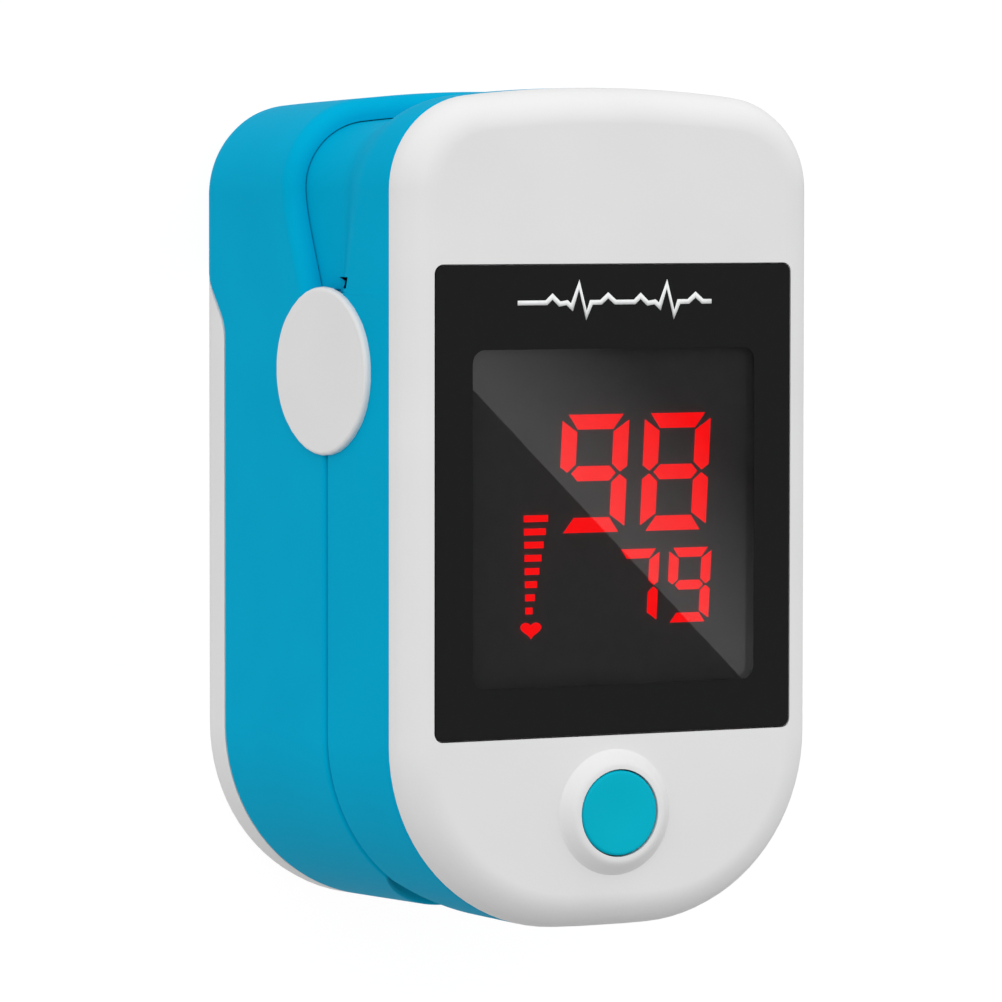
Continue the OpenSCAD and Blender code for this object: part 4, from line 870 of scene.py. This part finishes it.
# Small parts: the crystal's drawn metal can at +X, the regulator's black epoxy block at -X, and
# ceramic chips with bright tinned ends near the switch.
small_parts, tree, skin, mm = finish("ceramic_and_metal_parts")
x, y = along_axis(tree, mm, "X"), along_axis(tree, mm, "Y")
chips = add(tree, "ShaderNodeMath", {0: y, 1: 0.0}, operation="LESS_THAN").outputs[0]
middle = within(tree, y, RESISTOR_Y0, RESISTOR_Y1)
ends = add(tree, "ShaderNodeMath", {0: 1.0, 1: middle}, operation="SUBTRACT").outputs[0]
can = add(tree, "ShaderNodeMath", {0: x, 1: 0.0}, operation="GREATER_THAN").outputs[0]
metal = add(tree, "ShaderNodeMix", {0: chips, 2: can, 3: ends}, data_type="FLOAT").outputs[0]
ceramic = blend(tree, noise(tree, mm, 0.3), "#2A2420", "#3A322C")
tree.links.new(blend(tree, metal, ceramic, "#C4C6C8"), skin.inputs["Base Color"])
tree.links.new(metal, skin.inputs["Metallic"])
tree.links.new(between(tree, noise(tree, mm, 0.4), 0.25, 0.4), skin.inputs["Roughness"])
dress(["board_components"], small_parts)

# Nylon: black, smooth and slightly waxy.
nylon, tree, skin, mm = finish("nylon_black", Roughness=0.4, IOR=1.53)
tree.links.new(blend(tree, noise(tree, mm, 0.6), "#161617", "#1E1E20"), skin.inputs["Base Color"])
bumped(tree, skin, noise(tree, mm, 0.25), 0.006)
dress(["switch_plunger"], nylon)


# ---- Steel parts ----------------------------------------------------------------------------
# Switch can, screws, hinge pins, contact plates and springs: stamped strip, ground rod and coiled
# wire, plated against rust. The torsion springs sit on the pins and close the clip.
def plated(name, light, dark, rough, lay):
    """Plated steel: lay is the size in millimetres, along each axis, of the streaks that
    drawing, grinding or rolling leaves in its sheen."""
    made, tree, skin, mm = finish(name, Metallic=1.0)
    streak = add(tree, "ShaderNodeMapping", {"Vector": mm, "Scale": tuple(1 / v for v in lay)}).outputs[0]
    streak = add(tree, "ShaderNodeTexNoise", {"Vector": streak, "Scale": 1.0, "Detail": 3.0}).outputs["Fac"]
    tree.links.new(blend(tree, streak, light, dark), skin.inputs["Base Color"])
    tree.links.new(between(tree, streak, rough - 0.06, rough + 0.08, 0.3, 0.7), skin.inputs["Roughness"])
    bumped(tree, skin, streak, 0.003)
    return made


# Nickel-plated strip: warm silver, rolled lengthwise. Ground pins: bright, with fine turns.
# Spring wire: darker, drawn. Zinc-plated screws: bluish and slightly uneven.
nickel = plated("nickel_plated_strip", "#CFCBC2", "#B9B5AC", 0.3, (2.0, 0.15, 2.0))
ground = plated("steel_ground", "#D2D4D6", "#B8BABD", 0.2, (0.12, 2.0, 2.0))
wire_steel = plated("spring_steel_drawn", "#A9ABAE", "#8E9094", 0.3, (0.3, 0.3, 0.3))
zinc = plated("zinc_plated_steel", "#C8CDD4", "#AFB6C0", 0.35, (0.4, 0.4, 0.4))
dress(["power_switch", "battery_link_plate", "battery_terminals"], nickel)
dress(["hinge_pin_left", "hinge_pin_right"], ground)
dress(["frame_screws", "tray_screws"], zinc)
moulding("battery_springs_wire", "battery_springs", "lower_half", wire_steel, 55)
# The leg that lifts the upper half runs from the coil's side to its own middle; each spring is baked in
# place.
LEG_START, LEG_MIDDLE = (0, 11.7, 23.07), (0, 13.58, 24.4)
for node in ("torsion_spring_left", "torsion_spring_right"):
    moulding(node + "_wire", node, (LEG_START, LEG_MIDDLE), wire_steel, 55)


# ---- Battery tray ---------------------------------------------------------------------------
# Inner frame of natural white ABS, one moulding screwed to the lower shell: the roof and ends of
# the battery bay, the rails under the lower pad, and the posts that hold the hinge pins.
# Natural ABS: a warm off-white with flow clouds and a plain machined-mould surface.
dress(["battery_tray"], moulded("natural_abs_moulded", "#D6D5CF", "#CDCCC5", 0.5, 0.4, grain=0.5, depth=0.01))


# ---- Sensor ---------------------------------------------------------------------------------
# Emitter above the nail, a cast epoxy lamp on legs from the main board, and photodetector below
# the finger, on its own board. Each stands behind a clear polycarbonate window in its pad.
LEGS_Z = 28.1
DIE_MID, DIE_HALF = (0.0, -6.0), (1.0, 1.0)


# Polycarbonate: clear with the faintest blue, polished.
polycarbonate, tree, skin, mm = finish("polycarbonate_clear", IOR=1.585, Transmission_Weight=0.92)
tree.links.new(blend(tree, noise(tree, mm, 2.0), "#E6EEF2", "#EEF4F6"), skin.inputs["Base Color"])
tree.links.new(between(tree, noise(tree, mm, 0.3), 0.03, 0.09), skin.inputs["Roughness"])
dress(["emitter_window", "detector_window"], polycarbonate)
# Cast epoxy: ivory and cloudy round the emitter's two dies, with tinned legs above.
cast_epoxy, tree, skin, mm = finish("epoxy_ivory_cast", Roughness=0.25)
legs = add(tree, "ShaderNodeMath", {0: along_axis(tree, mm, "Z"), 1: LEGS_Z}, operation="GREATER_THAN")
legs = legs.outputs[0]
ivory = blend(tree, noise(tree, mm, 0.7), "#E9E2CB", "#DAD1B4")
tree.links.new(blend(tree, legs, ivory, "#C9CBCC"), skin.inputs["Base Color"])
tree.links.new(legs, skin.inputs["Metallic"])
dress(["light_emitter"], cast_epoxy)
# Silicon under dark epoxy: nearly black, polished, with a violet die in the middle.
photodiode, tree, skin, mm = finish("epoxy_over_silicon_die", Roughness=0.12, IOR=1.52)
die = inside(tree, mm, DIE_MID, DIE_HALF, 0.05)
dark = blend(tree, noise(tree, mm, 0.4), "#17171A", "#202024")
tree.links.new(blend(tree, die, dark, "#2C2440"), skin.inputs["Base Color"])
dress(["photodetector"], photodiode)


# ---- Batteries ------------------------------------------------------------------------------
# Two AAA cells side by side in the bay, head to tail: nickel-plated steel cans in a shrunk vinyl
# sleeve that leaves both ends bare.
def sleeve(name, low, high, band):
    """Shrunk vinyl sleeve between two ends along Y: slate blue and slightly wavy, with a copper
    band at the positive end and bare plated steel beyond."""
    made, tree, skin, mm = finish(name)
    y = along_axis(tree, mm, "Y")
    wrapped = within(tree, y, low, high)
    copper = within(tree, y, *band)
    film = noise(tree, mm, 1.5)
    slate, warm = blend(tree, film, "#26343C", "#2C3C45"), blend(tree, film, "#B8763E", "#C4824A")
    vinyl = blend(tree, copper, slate, warm)
    tree.links.new(blend(tree, wrapped, "#C6C8CA", vinyl), skin.inputs["Base Color"])
    tree.links.new(between(tree, wrapped, 1.0, 0.0), skin.inputs["Metallic"])
    tree.links.new(between(tree, film, 0.2, 0.32), skin.inputs["Roughness"])
    bumped(tree, skin, noise(tree, mm, 3.0), 0.02)
    return made


dress(["battery_left"], sleeve("vinyl_sleeve_left", -22.1, 20.7, (9.5, 20.7)))
dress(["battery_right"], sleeve("vinyl_sleeve_right", -23.8, 19.0, (-23.8, -12.6)))


# ---- Flex cable -----------------------------------------------------------------------------
# Ribbon from the detector board up to the main board, soldered at both ends: copper tracks between
# two polyimide films.
FLEX_Y0, FLEX_Y1, FLEX_BACK_Y = -1.0, 12.4, 8.5
FLEX_Z0, FLEX_Z1, FLEX_BEND = 13.95, 29.48, 1.0
FLEX_HALF_W, FLEX_T = 2.4, 0.2
FLEX_STILL, FLEX_MOVED = (0, 8.5, 15.5), (0, 8.5, 27.5)


# Polyimide: clear amber and glossy, with the copper tracks shining through as redder lines.
polyimide, tree, skin, mm = finish("polyimide_over_copper", Roughness=0.28, IOR=1.7)
across = add(tree, "ShaderNodeMath", {0: along_axis(tree, mm, "X"), 1: 0.6}, operation="PINGPONG").outputs[0]
copper = add(tree, "ShaderNodeMath", {0: across, 1: 0.3}, operation="GREATER_THAN").outputs[0]
amber = blend(tree, noise(tree, mm, 1.0), "#C97A1E", "#D28528")
tree.links.new(blend(tree, copper, amber, "#A9541C"), skin.inputs["Base Color"])
bumped(tree, skin, copper, 0.02)
a = quarter(9)
turn_y, turn_z = FLEX_BEND * np.sin(a), FLEX_BEND * (1 - np.cos(a))
first_y = np.linspace(FLEX_Y0, FLEX_BACK_Y - FLEX_BEND, 12)[:-1]
rise_z = np.linspace(FLEX_Z0 + FLEX_BEND, FLEX_Z1 - FLEX_BEND, 28)[1:-1]
last_y = np.linspace(FLEX_BACK_Y + FLEX_BEND, FLEX_Y1, 5)[1:]
flex_path = np.vstack([
    np.column_stack([first_y, np.full_like(first_y, FLEX_Z0)]),
    np.column_stack([FLEX_BACK_Y - FLEX_BEND + turn_y, FLEX_Z0 + turn_z]),
    np.column_stack([np.full_like(rise_z, FLEX_BACK_Y), rise_z]),
    np.column_stack([FLEX_BACK_Y + turn_z, FLEX_Z1 - FLEX_BEND + turn_y]),
    np.column_stack([last_y, np.full_like(last_y, FLEX_Z1)])])
flex = ribbon("flex_cable_ribbon", flex_path, FLEX_T, -FLEX_HALF_W, FLEX_HALF_W, (2, 0, 1))
shaded(flex, 40)
clad(flex, (FLEX_STILL, FLEX_MOVED), polyimide)
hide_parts("flex_cable")
